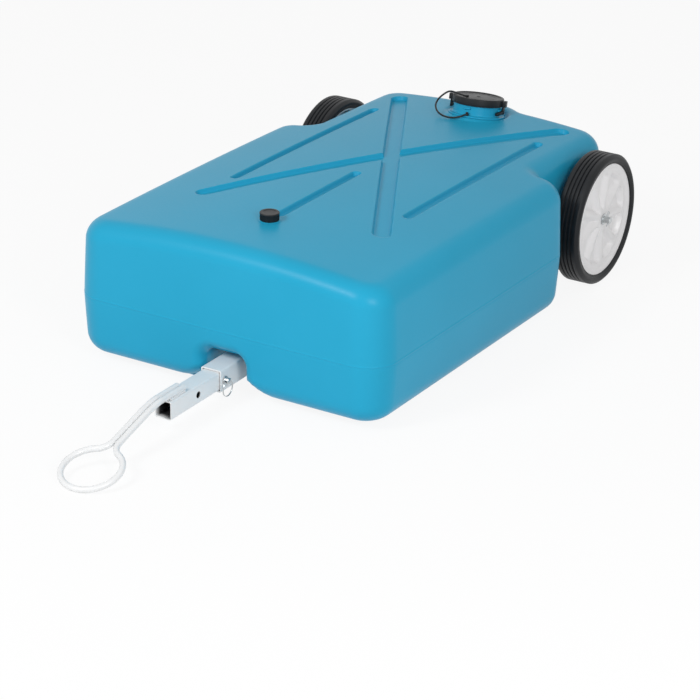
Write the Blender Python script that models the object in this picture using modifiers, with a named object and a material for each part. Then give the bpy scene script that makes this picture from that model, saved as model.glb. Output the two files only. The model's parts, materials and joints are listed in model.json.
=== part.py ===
# Portable waste water tank: a low moulded tank on two wheels, towed by a steel loop.
# Metres. X runs along the axle, -Y is the towed end, +Y carries the wheels and filler, Z is up.
import math

import bmesh
import bpy
from mathutils import Matrix, Vector

# Clearances
SEAT_GAP = 0.0003
RUNNING_GAP = 0.00008

# Tank body. Y is measured from the crossing of the two long channels in its roof.
WALL = 0.005
HALF_WIDTH = 0.318
FRONT_Y = -0.583
REAR_Y = 0.415
FRONT_CORNER_R = 0.062
REAR_CORNER_R = 0.055
ROOF_EDGE_R = 0.036
FLOOR_EDGE_R = 0.038
SIDE_DRAFT = 0.0045
SEAM_HEIGHT = 0.1133
FLOOR_Z = 0.0045
FLOOR_FALL = 0.014
ROOF_Z = 0.2778
ROOF_FALL = 0.0221
ROOF_CROWN_X = 0.231
ROOF_CROWN_Y = 0.0272
SPINE_FRONT = 0.220
SPINE_REAR = 0.160

# The tank steps in behind its shoulders to make room for the wheels.
SHOULDER_Y = 0.120
SHOULDER_R = 0.050
LEDGE_LEAN = 10.0
PLAN_BOW = 5.0
WELL_DEPTH = 0.0645
WELL_HALF_WIDTH = HALF_WIDTH - WELL_DEPTH
WELL_R = 0.012

# A lobe at the back carries the filler, and the tail sweeps up clear of the ground when the nose is lifted.
LOBE_REACH = 0.026
LOBE_R = 0.105
LOBE_BLEND_R = 0.030
TAIL_START_Y = 0.235
TAIL_HEIGHT = 0.098

# Recessed channels in the roof
CROSS_WIDTH = 0.030
RAIL_WIDTH = 0.018
GROOVE_DEPTH = 0.008
GROOVE_SLOPE = 0.45
CROSS_FRONT = (0.184, -0.354)
CROSS_REAR = (0.180, 0.339)
RAIL_X = 0.1812
RAIL_Y = (-0.257, 0.241)
CENTRE_RAIL_Y = (-0.392, -0.132)

# Wheels and axle
WHEEL_R = 0.127
WHEEL_Y = 0.276
TYRE_WIDTH = 0.054
TYRE_PROUD = 0.001
WHEEL_X = HALF_WIDTH + TYRE_PROUD - TYRE_WIDTH / 2
TYRE_SHOULDER = 0.007
TYRE_SIDE_HEIGHT = 0.0075
TYRE_BORE_R = 0.109
TREAD_GROOVES = 4
TREAD_DEPTH = 0.0025
TREAD_HALF_WIDTH = 0.0016
RIM_WIDTH = 0.044
RIM_DEPTH = 0.009
WEB_THICKNESS = 0.005
RIM_WALL = 0.0035
HUB_BOSS_R = 0.020
HUB_BOSS_LENGTH = 0.0035
HUB_BOSS_RECESS = 0.006
HUB_BOSS_TAPER = 0.002
FLUTES = 9
FLUTE_HEIGHT = 0.0045
WHEEL_SEGMENTS = 36
AXLE_R = 0.00635
AXLE_OVERHANG = 0.0135
AXLE_SIDES = 16
TUNNEL_R = 0.0110
BUSH_FLANGE_R = 0.016
BUSH_FLANGE = 0.0025
BUSH_LENGTH = 0.030
WASHER_R = 0.0110
WASHER_THICKNESS = 0.0020
INNER_WASHER_R = 0.0130
SPACER_R = 0.0090
COTTER_R = 0.0014
COTTER_LOOP_R = 0.0042
COTTER_INSET = 0.0060

# Tow gear: a square receiver under the nose, a square draw tube in it and a bent rod loop on top.
RECEIVER = 0.041
RECEIVER_WALL = 0.0025
RECEIVER_PROUD = 0.028
RECEIVER_FRONT_Y = FRONT_Y - RECEIVER_PROUD
RECEIVER_LENGTH = 0.270
DRAW_TUBE = 0.034
DRAW_WALL = 0.0022
DRAW_PROUD = 0.146
DRAW_FRONT_Y = RECEIVER_FRONT_Y - DRAW_PROUD
DRAW_LENGTH = 0.330
TUBE_CORNER_R = 0.0035
TOW_Z = 0.047
PIN_MARGIN = 0.012
PIN_Y = RECEIVER_FRONT_Y + PIN_MARGIN
PIN_R = 0.0048
PIN_HOLE_R = 0.0052
SPARE_HOLE_PITCH = 0.076
SPARE_HOLE_Y = PIN_Y - SPARE_HOLE_PITCH
PIN_HEAD_R = 0.0075
PIN_HEAD = 0.010
PIN_TAIL = 0.008
PIN_RING_R = 0.0145
PIN_RING_WIRE_R = 0.0012
PIN_EYE_R = 0.0024
PIN_RING_SAG = 0.0005
ROD_R = 0.0055
ROD_SEAT = 0.052
ROD_REAR_Y = DRAW_FRONT_Y + ROD_SEAT
ROD_OVERHANG = 0.030
ROD_BEND_Y = DRAW_FRONT_Y - ROD_OVERHANG
ROD_BEND_R = 0.022
LOOP_R = 0.0516
LOOP_REACH = 0.1817
LOOP_THROAT_R = 0.030
GROUND_GAP = 0.0002

# The pocket moulded under the nose for the receiver, and the plate that bolts it up
POCKET_HALF_WIDTH = 0.043
POCKET_CORNER_R = 0.004
POCKET_MOUTH_CORNER_R = 0.022
POCKET_MOUTH_RISE = 0.020
POCKET_MOUTH_LENGTH = 0.060
POCKET_FLARE = 0.0755
POCKET_FLARE_Z = 0.040
POCKET_END_GAP = 0.022
PLATE_THICKNESS = 0.005
PLATE_WIDTH = 0.076
PLATE_LENGTH = 0.160
PLATE_REAR_MARGIN = 0.012
BOLT_X = 0.0290
BOLT_PITCH = 0.120
BOLT_R = 0.0030
BOLT_HEAD_R = 0.0060
BOLT_HEAD = 0.0045
BOLT_LENGTH = 0.014
BOLT_WASHER_R = 0.0070
BOLT_WASHER = 0.0012
INSERT_R = 0.0055
INSERT_LENGTH = 0.012

# Filler: a bayonet neck tilted back on a flat seat, its cap, gasket and strap
NECK_Y = 0.3288
NECK_Z = 0.2635
NECK_TILT = math.radians(10.5)
SEAT_R = 0.0565
SEAT_FLARE = 0.004
SEAT_DEPTH = 0.030
SEAT_CLEARING = 0.040
SEAT_CLEARING_FLARE = 0.017
SEAT_MARGIN = 0.003
NECK_R = 0.0465
NECK_BORE_R = 0.0390
NECK_HEIGHT = 0.0290
NECK_FLANGE_R = 0.0555
NECK_FILLET = 0.0020
NECK_FLANGE = 0.0030
NECK_SPIGOT = 0.014
LUG_COUNT = 4
LUG_ANGLE = math.radians(-87.0)
LUG_ARC = math.radians(16.0)
LUG_DEPTH = 0.0040
LUG_HEIGHT = 0.0036
LUG_Z = 0.0150
CAP_LIFT_PER_TURN = 0.050
CAP_R = 0.0505
CAP_SKIRT = 0.0133
CAP_TOP = 0.0030
CAP_RIM = 0.0016
ARM_ANGLE = math.radians(12.0)
ARM_WIDTH = 0.013
ARM_THICKNESS = 0.0035
CLAW_ARC = math.radians(32.0)
CLAW_HEIGHT = 0.0032
GASKET = 0.0030
STRAP_R = 0.0018
STRAP_ANCHOR_ANGLE = math.radians(-84.0)
STRAP_ANCHOR_RADIUS = (NECK_R + NECK_FILLET + NECK_FLANGE_R) / 2
STRAP_BALL_R = 0.0030
FILLER_SIDES = 36

# Vent: a small threaded neck and its knurled cap
VENT_Y = -0.4265
VENT_Z = 0.2822
VENT_NECK_R = 0.0120
VENT_BORE_R = 0.0080
VENT_NECK_HEIGHT = 0.0125
VENT_FLANGE_R = 0.0205
VENT_FLANGE = 0.0030
VENT_SEAT_MARGIN = 0.001
VENT_SEAT_DEPTH = 0.020
VENT_SPIGOT = 0.010
VENT_SPIGOT_R = 0.0140
VENT_CAP_R = 0.0170
VENT_CAP_HEIGHT = 0.0125
VENT_CAP_LIP = 0.0007
VENT_CAP_LIP_HEIGHT = 0.0035
VENT_RIBS = 24
VENT_RIB = 0.0005
VENT_WASHER = 0.0015
VENT_SIDES = 24
VENT_TURN = math.radians(4.0)

TYRE_BLACK = (0.020, 0.021, 0.022)
TANK_BLUE = (0.045, 0.365, 0.560)
SHELL_WHITE = (0.800, 0.800, 0.810)
ZINC = (0.560, 0.570, 0.580)


def clear_scene():
    for item in list(bpy.data.objects):
        bpy.data.objects.remove(item, do_unlink=True)


def new_collection(name):
    group = bpy.data.collections.new(name)
    bpy.context.scene.collection.children.link(group)
    return group


clear_scene()
PARTS = new_collection("portable_waste_water_tank")
CUTTERS = new_collection("cutters")


def finish(name, color, roughness, metallic=0.0):
    mat = bpy.data.materials.new(name)
    mat.use_nodes = True
    shader = mat.node_tree.nodes["Principled BSDF"]
    shader.inputs["Base Color"].default_value = (*color, 1.0)
    shader.inputs["Roughness"].default_value = roughness
    shader.inputs["Metallic"].default_value = metallic
    return mat


def empty(name, parent, location=(0, 0, 0), rotation=(0, 0, 0)):
    item = bpy.data.objects.new(name, None)
    PARTS.objects.link(item)
    item.parent = parent
    item.location = location
    item.rotation_euler = rotation
    return item


# Placing objects and cutting them

def place(name, mesh, parent, mat=None, location=(0, 0, 0), rotation=(0, 0, 0)):
    item = bpy.data.objects.new(name, mesh)
    PARTS.objects.link(item)
    item.parent = parent
    item.location = location
    item.rotation_euler = rotation
    if mat:
        mesh.materials.clear()
        mesh.materials.append(mat)
    return item


def as_cutter(item):
    PARTS.objects.unlink(item)
    CUTTERS.objects.link(item)
    item.hide_render = True
    item.display_type = "WIRE"
    return item


def combine(target, tool, operation):
    mod = target.modifiers.new(operation.lower() + "_" + tool.name, "BOOLEAN")
    mod.operation = operation
    mod.solver = "EXACT"
    mod.object = as_cutter(tool)


def cut(target, tool):
    combine(target, tool, "DIFFERENCE")


def join(target, tool):
    combine(target, tool, "UNION")


def smooth(item, angle=math.radians(32)):
    item.data.shade_smooth()
    item.data.set_sharp_from_angle(angle=angle)


# Basic meshes

def mesh_from_bmesh(name, bm):
    bmesh.ops.recalc_face_normals(bm, faces=bm.faces)
    mesh = bpy.data.meshes.new(name)
    bm.to_mesh(mesh)
    bm.free()
    return mesh


def arc(centre, radius, start, end, steps):
    return [(centre[0] + radius * math.cos(start + (end - start) * i / steps),
             centre[1] + radius * math.sin(start + (end - start) * i / steps)) for i in range(steps + 1)]


def ring_from_half(half):
    # A half outline from one tip on the centre line to the other, mirrored into a full ring
    return half + [(-u, v) for u, v in reversed(half[1:-1])]


def ladder_faces(ring):
    # Rungs across a ring that came from ring_from_half, a new one only where the centre line has moved on
    count = len(ring)
    half = count // 2
    middle = [(Vector(ring[i]) + Vector(ring[-i])) / 2 for i in range(half + 1)]
    marks = [0]
    for i in range(1, half + 1):
        if (middle[i] - middle[marks[-1]]).length > 0.00002:
            marks.append(i)
    marks[-1] = half
    faces = []
    for low, high in zip(marks, marks[1:]):
        face = list(range(low, high + 1)) + list(range(count - high, count - low + 1))
        faces.append(list(dict.fromkeys(i % count for i in face)))
    return faces


def loft(name, rings):
    bm = bmesh.new()
    rows = [[bm.verts.new(point) for point in ring] for ring in rings]
    count = len(rings[0])
    for low, high in zip(rows, rows[1:]):
        for i in range(count):
            j = (i + 1) % count
            bm.faces.new((low[i], low[j], high[j], high[i]))
    for row, ring in ((rows[0], rings[0]), (rows[-1], rings[-1])):
        for face in ladder_faces(ring):
            bm.faces.new([row[i] for i in face])
    # The facets of a curved skin aren't flat, so they are split before anything is cut from it
    bmesh.ops.triangulate(bm, faces=bm.faces[:], quad_method="SHORT_EDGE")
    return mesh_from_bmesh(name, bm)


def box_mesh(name, size, bevel=0.0):
    bm = bmesh.new()
    bmesh.ops.create_cube(bm, size=1.0, matrix=Matrix.Diagonal((*size, 1.0)))
    if bevel:
        bmesh.ops.bevel(bm, geom=bm.edges[:], offset=bevel, segments=2, profile=0.5, affect="EDGES")
    return mesh_from_bmesh(name, bm)


def cylinder_mesh(name, radius, length, sides=24, top_radius=None):
    bm = bmesh.new()
    bmesh.ops.create_cone(bm, cap_ends=True, segments=sides, radius1=radius,
                          radius2=radius if top_radius is None else top_radius, depth=length)
    return mesh_from_bmesh(name, bm)


def turned(name, profile, parent, mat=None, steps=32, closed=False, location=(0, 0, 0), rotation=(0, 0, 0)):
    # The profile runs down the outer side, as (radius, height), and closes up the bore where there is one
    mesh = bpy.data.meshes.new(name)
    count = len(profile)
    edges = [(i, (i + 1) % count) for i in range(count if closed else count - 1)]
    mesh.from_pydata([(r, 0.0, z) for r, z in profile], edges, [])
    item = place(name, mesh, parent, mat, location, rotation)
    screw = item.modifiers.new("turn", "SCREW")
    screw.axis = "Z"
    screw.steps = steps
    screw.render_steps = steps
    screw.use_merge_vertices = True
    screw.merge_threshold = 0.00001
    screw.use_smooth_shade = True
    return item


def tube_ring(outer, inner, top, bottom):
    return [(outer, top), (outer, bottom), (inner, bottom), (inner, top)]


def swept(name, points, radius, parent, mat, resolution=2):
    curve = bpy.data.curves.new(name, "CURVE")
    curve.dimensions = "3D"
    curve.bevel_depth = radius
    curve.bevel_resolution = resolution
    curve.use_fill_caps = True
    spline = curve.splines.new("POLY")
    spline.points.add(len(points) - 1)
    for vertex, point in zip(spline.points, points):
        vertex.co = (*point, 1.0)
    item = bpy.data.objects.new(name, curve)
    PARTS.objects.link(item)
    item.parent = parent
    curve.materials.append(mat)
    return item


def solid_from_curve(item, mat):
    bpy.context.view_layer.update()
    evaluated = item.evaluated_get(bpy.context.evaluated_depsgraph_get())
    mesh = bpy.data.meshes.new_from_object(evaluated)
    bm = bmesh.new()
    bm.from_mesh(mesh)
    bmesh.ops.remove_doubles(bm, verts=bm.verts[:], dist=0.000005)
    bmesh.ops.recalc_face_normals(bm, faces=bm.faces[:])
    bm.to_mesh(mesh)
    bm.free()
    name, parent, world = item.name, item.parent, item.matrix_world.copy()
    bpy.data.objects.remove(item, do_unlink=True)
    solid = place(name, mesh, parent, mat)
    solid.matrix_world = world
    return solid


def square_tube(name, size, wall, front_y, length, parent, mat):
    curve = bpy.data.curves.new(name, "CURVE")
    curve.dimensions = "2D"
    curve.fill_mode = "BOTH"
    curve.extrude = length / 2
    for half, radius in ((size / 2, TUBE_CORNER_R), (size / 2 - wall, TUBE_CORNER_R - wall * 0.8)):
        outline = []
        for k in range(4):
            start = math.pi / 2 * k
            centre = ((half - radius) * (1 if k in (0, 3) else -1), (half - radius) * (1 if k in (0, 1) else -1))
            outline += arc(centre, radius, start, start + math.pi / 2, 2)
        spline = curve.splines.new("POLY")
        spline.points.add(len(outline) - 1)
        for vertex, (u, v) in zip(spline.points, outline):
            vertex.co = (u, v, 0.0, 1.0)
        spline.use_cyclic_u = True
    item = bpy.data.objects.new(name, curve)
    PARTS.objects.link(item)
    item.parent = parent
    item.location = (0, front_y + length / 2, TOW_Z)
    item.rotation_euler = (math.pi / 2, 0, 0)
    return solid_from_curve(item, mat)


def cross_hole(target, y, parent):
    drill = place("drill", cylinder_mesh("drill", PIN_HOLE_R, RECEIVER * 2, 16), parent,
                  location=(0, y, TOW_Z), rotation=(0, math.pi / 2, 0))
    cut(target, drill)


# Tank surfaces

def roof_z(x, y):
    return ROOF_Z - ROOF_FALL * y - ROOF_CROWN_X * x * x - ROOF_CROWN_Y * y * y


def floor_z(y):
    return FLOOR_Z - FLOOR_FALL * y


def tail_y(height):
    # The back edge of the plan outline at a height above the floor, eased into the upright rear face
    run = (REAR_Y - TAIL_START_Y) / TAIL_HEIGHT
    ease = 0.25 * TAIL_HEIGHT
    past = height - (TAIL_HEIGHT - ease)
    if past <= 0:
        return TAIL_START_Y + run * height
    if past >= 2 * ease:
        return REAR_Y
    return TAIL_START_Y + run * (height - past * past / (4 * ease))


# How many steps each rounded corner gets on the outside and round the cavity
OUTSIDE_STEPS = {"front_steps": 5, "shoulder_steps": 4, "tail_steps": 4, "lobe_steps": 3, "edge_steps": 3,
                 "channel_steps": 3, "roof_shares": (0.42, 0.84)}
CAVITY_STEPS = {"front_steps": 3, "shoulder_steps": 2, "tail_steps": 3, "lobe_steps": 2, "edge_steps": 2,
                "channel_steps": 2, "roof_shares": (0.42, 0.84)}


def plan_half(inset, rear, steps):
    # Half of the plan outline, from the middle of the nose round to the middle of the tail
    least = 0.003
    front = FRONT_Y + inset
    back = rear - inset
    side = HALF_WIDTH - inset
    well = WELL_HALF_WIDTH - inset
    ledge = SHOULDER_Y - inset
    corner = max(FRONT_CORNER_R - inset, least)
    shoulder = max(SHOULDER_R - inset, least)
    hollow = WELL_R + inset
    tail = max(REAR_CORNER_R - inset, least)
    lobe = LOBE_R - inset
    blend = LOBE_BLEND_R + inset
    lobe_y = back + LOBE_REACH - lobe
    blend_x = math.sqrt((lobe + blend) ** 2 - (back + blend - lobe_y) ** 2)
    turn = math.atan2(back + blend - lobe_y, blend_x)
    quarter = math.pi / 2
    bow = math.radians(PLAN_BOW)
    lean = math.radians(LEDGE_LEAN)
    half = [(0.0, front)]
    half += arc((side - corner, front + corner), corner, -quarter + bow, 0, steps["front_steps"])
    half += arc((side - shoulder, ledge - shoulder), shoulder, 0, quarter - lean, steps["shoulder_steps"])
    half += arc((well + hollow, ledge + hollow), hollow, -quarter - lean, -math.pi, 2)
    half += arc((well - tail, back - tail), tail, 0, quarter - bow, steps["tail_steps"])
    half += arc((blend_x, back + blend), blend, -quarter, turn - math.pi, 2)[:-1]
    half += arc((0.0, lobe_y), lobe, turn, quarter, steps["lobe_steps"])
    half[-1] = (0.0, half[-1][1])
    return half


def tank_mesh(name, offset, steps):
    # Rings of the plan outline from floor to roof, all set in by offset
    turns = [math.pi / 2 * k / steps["edge_steps"] for k in range(steps["edge_steps"] + 1)]
    levels = []
    for angle in reversed(turns):
        levels.append(("floor", FLOOR_EDGE_R * (1 - math.sin(angle)),
                       SIDE_DRAFT + FLOOR_EDGE_R * (1 - math.cos(angle))))
    for share in (0.75, 1.0, 1.25):
        height = TAIL_HEIGHT * share
        levels.append(("floor", height, SIDE_DRAFT * abs(1 - height / SEAM_HEIGHT)))
        if share == 1.0:
            levels.append(("floor", SEAM_HEIGHT, 0.0))
    for angle in turns:
        levels.append(("roof", ROOF_EDGE_R * (1 - math.sin(angle)),
                       SIDE_DRAFT + ROOF_EDGE_R * (1 - math.cos(angle))))
    rings = []
    for datum, height, inset in levels:
        rear = tail_y(height) if datum == "floor" else REAR_Y
        outline = ring_from_half(plan_half(inset + offset, rear, steps))
        if datum == "floor":
            rings.append([(x, y, floor_z(y) + max(height, offset)) for x, y in outline])
        else:
            rings.append([(x, y, roof_z(x, y) - max(height, offset)) for x, y in outline])
    spine_front, spine_rear = FRONT_Y + SPINE_FRONT, REAR_Y - SPINE_REAR
    edge = rings[-1]
    for share in steps["roof_shares"]:
        ring = []
        for x, y, _ in edge:
            spine_y = min(max(y, spine_front), spine_rear)
            u, v = x * (1 - share), y + (spine_y - y) * share
            ring.append((u, v, roof_z(u, v) - offset))
        rings.append(ring)
    return loft(name, rings)


def groove_mesh(name, start, end, width, offset, steps):
    # A round-ended channel that follows the roof, its floor narrower than its mouth
    start, end = Vector(start), Vector(end)
    along = end - start
    length = along.length
    along.normalize()
    across = Vector((-along.y, along.x))
    depth = GROOVE_DEPTH + offset
    lift = GROOVE_DEPTH

    def ring(radius, rise):
        quarter = math.pi / 2
        half = arc((0.0, 0.0), radius, -quarter, 0, steps)
        half += [(radius, length * i / (steps + 1)) for i in range(1, steps + 1)]
        half += arc((0.0, length), radius, 0, quarter, steps)
        half[0] = (0.0, half[0][1])
        half[-1] = (0.0, half[-1][1])
        points = []
        for u, v in ring_from_half(half):
            spot = start + along * v + across * u
            points.append((spot.x, spot.y, roof_z(spot.x, spot.y) + rise))
        return points

    radius = width / 2 + offset
    return loft(name, [ring(radius - depth * GROOVE_SLOPE, -depth), ring(radius + lift * GROOVE_SLOPE, lift)])


def grooves(offset, steps):
    lines = [(Vector((-CROSS_FRONT[0], CROSS_FRONT[1])), CROSS_REAR, CROSS_WIDTH),
             (CROSS_FRONT, Vector((-CROSS_REAR[0], CROSS_REAR[1])), CROSS_WIDTH),
             ((-RAIL_X, RAIL_Y[0]), (-RAIL_X, RAIL_Y[1]), RAIL_WIDTH),
             ((RAIL_X, RAIL_Y[0]), (RAIL_X, RAIL_Y[1]), RAIL_WIDTH),
             ((0.0, CENTRE_RAIL_Y[0]), (0.0, CENTRE_RAIL_Y[1]), RAIL_WIDTH)]
    return [groove_mesh("channel", *line, offset, steps) for line in lines]


POCKET_ROOF_Z = TOW_Z + RECEIVER / 2 + PLATE_THICKNESS + 2 * SEAT_GAP
POCKET_END_Y = RECEIVER_FRONT_Y + RECEIVER_LENGTH + POCKET_END_GAP


def pocket_mesh(name, offset):
    # The receiver's pocket: flared at the floor, round at its roof, with a mouth that opens upward
    def ring(y, roof, corner_r):
        side = POCKET_HALF_WIDTH + offset
        corner = corner_r + offset
        deep = floor_z(y) - 0.03
        slope = (POCKET_FLARE - POCKET_HALF_WIDTH) / (POCKET_FLARE_Z - floor_z(FRONT_Y))
        low = side + slope * (POCKET_FLARE_Z - deep)
        half = [(0.0, deep - 0.01), (low, deep), (side, POCKET_FLARE_Z)]
        half += arc((side - corner, roof + offset - corner), corner, 0, math.pi / 2 - math.radians(PLAN_BOW), 4)
        half.append((0.0, roof + offset))
        return [(x, y, z) for x, z in ring_from_half(half)]

    mouth = POCKET_ROOF_Z + POCKET_MOUTH_RISE
    slope = POCKET_MOUTH_RISE / POCKET_MOUTH_LENGTH
    return loft(name, [ring(FRONT_Y - 0.03, mouth + 0.03 * slope, POCKET_MOUTH_CORNER_R),
                       ring(FRONT_Y + POCKET_MOUTH_LENGTH, POCKET_ROOF_Z, POCKET_CORNER_R),
                       ring(POCKET_END_Y + offset, POCKET_ROOF_Z, POCKET_CORNER_R)])


PLATE_REAR_Y = RECEIVER_FRONT_Y + RECEIVER_LENGTH - PLATE_REAR_MARGIN
PLATE_Y = PLATE_REAR_Y - PLATE_LENGTH / 2
PLATE_Z = POCKET_ROOF_Z - SEAT_GAP - PLATE_THICKNESS / 2
BOLTS = [(x, PLATE_Y + y) for x in (-BOLT_X, BOLT_X) for y in (-BOLT_PITCH / 2, BOLT_PITCH / 2)]


def tank_shell(root, neck_frame, vent_frame, mat):
    shell = place("tank_shell", tank_mesh("tank_shell", 0.0, OUTSIDE_STEPS), root, mat)
    inner = place("cavity", tank_mesh("cavity", WALL, CAVITY_STEPS), root)

    # The filler's flat seat is built up in front and cut level behind
    clear_r = SEAT_R + SEAT_FLARE
    face_r = SEAT_R + SEAT_MARGIN
    join(shell, place("seat", cylinder_mesh("seat", clear_r, SEAT_DEPTH, FILLER_SIDES, SEAT_R), neck_frame,
                      location=(0, 0, -SEAT_DEPTH / 2)))
    cut(shell, place("seat_face", cylinder_mesh("seat_face", face_r, SEAT_CLEARING, FILLER_SIDES,
                                                face_r + SEAT_CLEARING_FLARE), neck_frame,
                     location=(0, 0, SEAT_CLEARING / 2)))
    cut(inner, place("seat_core", cylinder_mesh("seat_core", clear_r + SEAT_FLARE, SEAT_CLEARING, VENT_SIDES,
                                                clear_r + SEAT_FLARE + SEAT_CLEARING_FLARE), neck_frame,
                     location=(0, 0, SEAT_CLEARING / 2 - WALL)))
    vent_seat_r = VENT_FLANGE_R + VENT_SEAT_MARGIN
    join(shell, place("vent_seat", cylinder_mesh("vent_seat", vent_seat_r + 2 * VENT_SEAT_MARGIN, VENT_SEAT_DEPTH,
                                                 VENT_SIDES, vent_seat_r), vent_frame,
                      location=(0, 0, -VENT_SEAT_DEPTH / 2)))

    for mesh in grooves(0.0, OUTSIDE_STEPS["channel_steps"]):
        cut(shell, place("channel", mesh, root))
    for mesh in grooves(WALL, CAVITY_STEPS["channel_steps"]):
        cut(inner, place("ridge", mesh, root))
    cut(shell, place("pocket", pocket_mesh("pocket", 0.0), root))
    cut(inner, place("pocket_wall", pocket_mesh("pocket_wall", WALL), root))
    for x, y in BOLTS:
        boss = INSERT_LENGTH + WALL
        cut(inner, place("boss", cylinder_mesh("boss", INSERT_R + WALL, boss, 12), root,
                         location=(x, y, POCKET_ROOF_Z + boss / 2)))
    across = {"location": (0, WHEEL_Y, WHEEL_R), "rotation": (0, math.pi / 2, 0)}
    span = 2 * HALF_WIDTH
    cut(inner, place("tunnel_wall", cylinder_mesh("tunnel_wall", TUNNEL_R + WALL, span, AXLE_SIDES), root, **across))
    cut(shell, place("tunnel", cylinder_mesh("tunnel", TUNNEL_R, span, AXLE_SIDES), root, **across))
    for x, y in BOLTS:
        depth = INSERT_LENGTH + SEAT_GAP
        cut(shell, place("insert_hole", cylinder_mesh("insert_hole", INSERT_R + SEAT_GAP, 2 * depth, 12), root,
                         location=(x, y, POCKET_ROOF_Z)))
    drill = 2 * SEAT_DEPTH
    for hole, radius, sides, frame in (("filler_hole", NECK_R, FILLER_SIDES, neck_frame),
                                       ("vent_hole", VENT_SPIGOT_R, VENT_SIDES, vent_frame)):
        cut(shell, place(hole, cylinder_mesh(hole, radius + SEAT_GAP, drill, sides), frame))
    cut(shell, inner)
    smooth(shell)
    return shell


# Wheels

def wheel_tyre(name, root, x, side, mat):
    half = TYRE_WIDTH / 2
    flat = half - TYRE_SHOULDER
    pitch = 2 * flat / (TREAD_GROOVES + 1)
    outer = [(WHEEL_R, flat)]
    for k in range(TREAD_GROOVES):
        centre = flat - pitch * (k + 1)
        outer += [(WHEEL_R, centre + TREAD_HALF_WIDTH), (WHEEL_R - TREAD_DEPTH, centre),
                  (WHEEL_R, centre - TREAD_HALF_WIDTH)]
    outer.append((WHEEL_R, -flat))
    bead = RIM_WIDTH / 2 + 0.001
    side_r = WHEEL_R - TYRE_SIDE_HEIGHT
    profile = [(TYRE_BORE_R, bead), (side_r, half)] + outer + [(side_r, -half), (TYRE_BORE_R, -bead)]
    return turned(name, profile, root, mat, WHEEL_SEGMENTS, True, (x, WHEEL_Y, WHEEL_R), (0, side * math.pi / 2, 0))


def hub_section(turn):
    # One radial section of the hub, as (radius, height), with its outer face lifted by the spokes
    rim = TYRE_BORE_R - SEAT_GAP
    half = RIM_WIDTH / 2
    inner = rim - RIM_WALL
    face = half - RIM_DEPTH
    bore = AXLE_R + RUNNING_GAP
    boss = half + HUB_BOSS_LENGTH
    dish = boss - HUB_BOSS_RECESS

    def flute(radius):
        share = (radius - HUB_BOSS_R) / (inner - HUB_BOSS_R)
        wave = 0.5 + 0.5 * math.cos(FLUTES * turn)
        return face + FLUTE_HEIGHT * wave * math.sin(math.pi * share) ** 0.6

    front = [HUB_BOSS_R + (inner - RIM_WALL - HUB_BOSS_R) * k / 4 for k in range(1, 4)]
    section = [(rim, half), (rim, -half), (inner, -half), (inner, face - WEB_THICKNESS)]
    section += [(HUB_BOSS_R, face - WEB_THICKNESS), (HUB_BOSS_R - HUB_BOSS_TAPER, -boss), (bore, -boss), (bore, dish)]
    section += [(HUB_BOSS_R - HUB_BOSS_RECESS, dish), (HUB_BOSS_R, face)]
    section += [(radius, flute(radius)) for radius in front]
    section += [(inner, face), (inner + 0.0005, half)]
    return section


def wheel_hub(name, root, x, side, mat):
    bm = bmesh.new()
    rows = []
    for k in range(WHEEL_SEGMENTS):
        turn = 2 * math.pi * k / WHEEL_SEGMENTS
        rows.append([bm.verts.new((r * math.cos(turn), r * math.sin(turn), z)) for r, z in hub_section(turn)])
    count = len(rows[0])
    for k in range(WHEEL_SEGMENTS):
        here, there = rows[k], rows[(k + 1) % WHEEL_SEGMENTS]
        for i in range(count):
            j = (i + 1) % count
            bm.faces.new((here[i], here[j], there[j], there[i]))
    item = place(name, mesh_from_bmesh(name, bm), root, mat, (x, WHEEL_Y, WHEEL_R), (0, side * math.pi / 2, 0))
    smooth(item)
    return item


HUB_OUTER_X = WHEEL_X + RIM_WIDTH / 2 + HUB_BOSS_LENGTH - HUB_BOSS_RECESS
HUB_INNER_X = WHEEL_X - RIM_WIDTH / 2 - HUB_BOSS_LENGTH
AXLE_HALF = HUB_OUTER_X + AXLE_OVERHANG + WASHER_THICKNESS
COTTER_X = AXLE_HALF - COTTER_INSET


def axle(root, mat):
    bar = place("axle", cylinder_mesh("axle", AXLE_R, 2 * AXLE_HALF, AXLE_SIDES), root, mat,
                (0, WHEEL_Y, WHEEL_R), (0, math.pi / 2, 0))
    for side in (-1, 1):
        cut(bar, place("cotter_hole", cylinder_mesh("cotter_hole", COTTER_R + SEAT_GAP, 4 * AXLE_R, 12), root,
                       location=(side * COTTER_X, WHEEL_Y, WHEEL_R), rotation=(0, 0, 0)))
    smooth(bar)
    return bar


def axle_fittings(root, label, side, plastic, zinc):
    # Bush in the tank's tunnel, spacer, washers either side of the wheel and the cotter pin
    spin = (0, side * math.pi / 2, 0)
    face = WELL_HALF_WIDTH + SEAT_GAP
    bore = AXLE_R + RUNNING_GAP
    depth = BUSH_LENGTH
    profile = [(BUSH_FLANGE_R, BUSH_FLANGE), (BUSH_FLANGE_R, 0.0), (TUNNEL_R - SEAT_GAP * 2, 0.0),
               (TUNNEL_R - SEAT_GAP * 2, -depth), (bore, -depth), (bore, BUSH_FLANGE)]
    turned("axle_bush_" + label, profile, root, plastic, AXLE_SIDES, True, (side * face, WHEEL_Y, WHEEL_R), spin)
    start = face + BUSH_FLANGE + SEAT_GAP
    stop = HUB_INNER_X - WASHER_THICKNESS - 2 * SEAT_GAP
    for piece, outer, length, x in (
            ("inner_washer_", INNER_WASHER_R, WASHER_THICKNESS, HUB_INNER_X - SEAT_GAP - WASHER_THICKNESS),
            ("axle_spacer_", SPACER_R, stop - start, start),
            ("outer_washer_", WASHER_R, WASHER_THICKNESS, HUB_OUTER_X + SEAT_GAP)):
        turned(piece + label, tube_ring(outer, bore, length, 0.0), root, zinc, AXLE_SIDES, True,
               (side * x, WHEEL_Y, WHEEL_R), spin)


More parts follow.
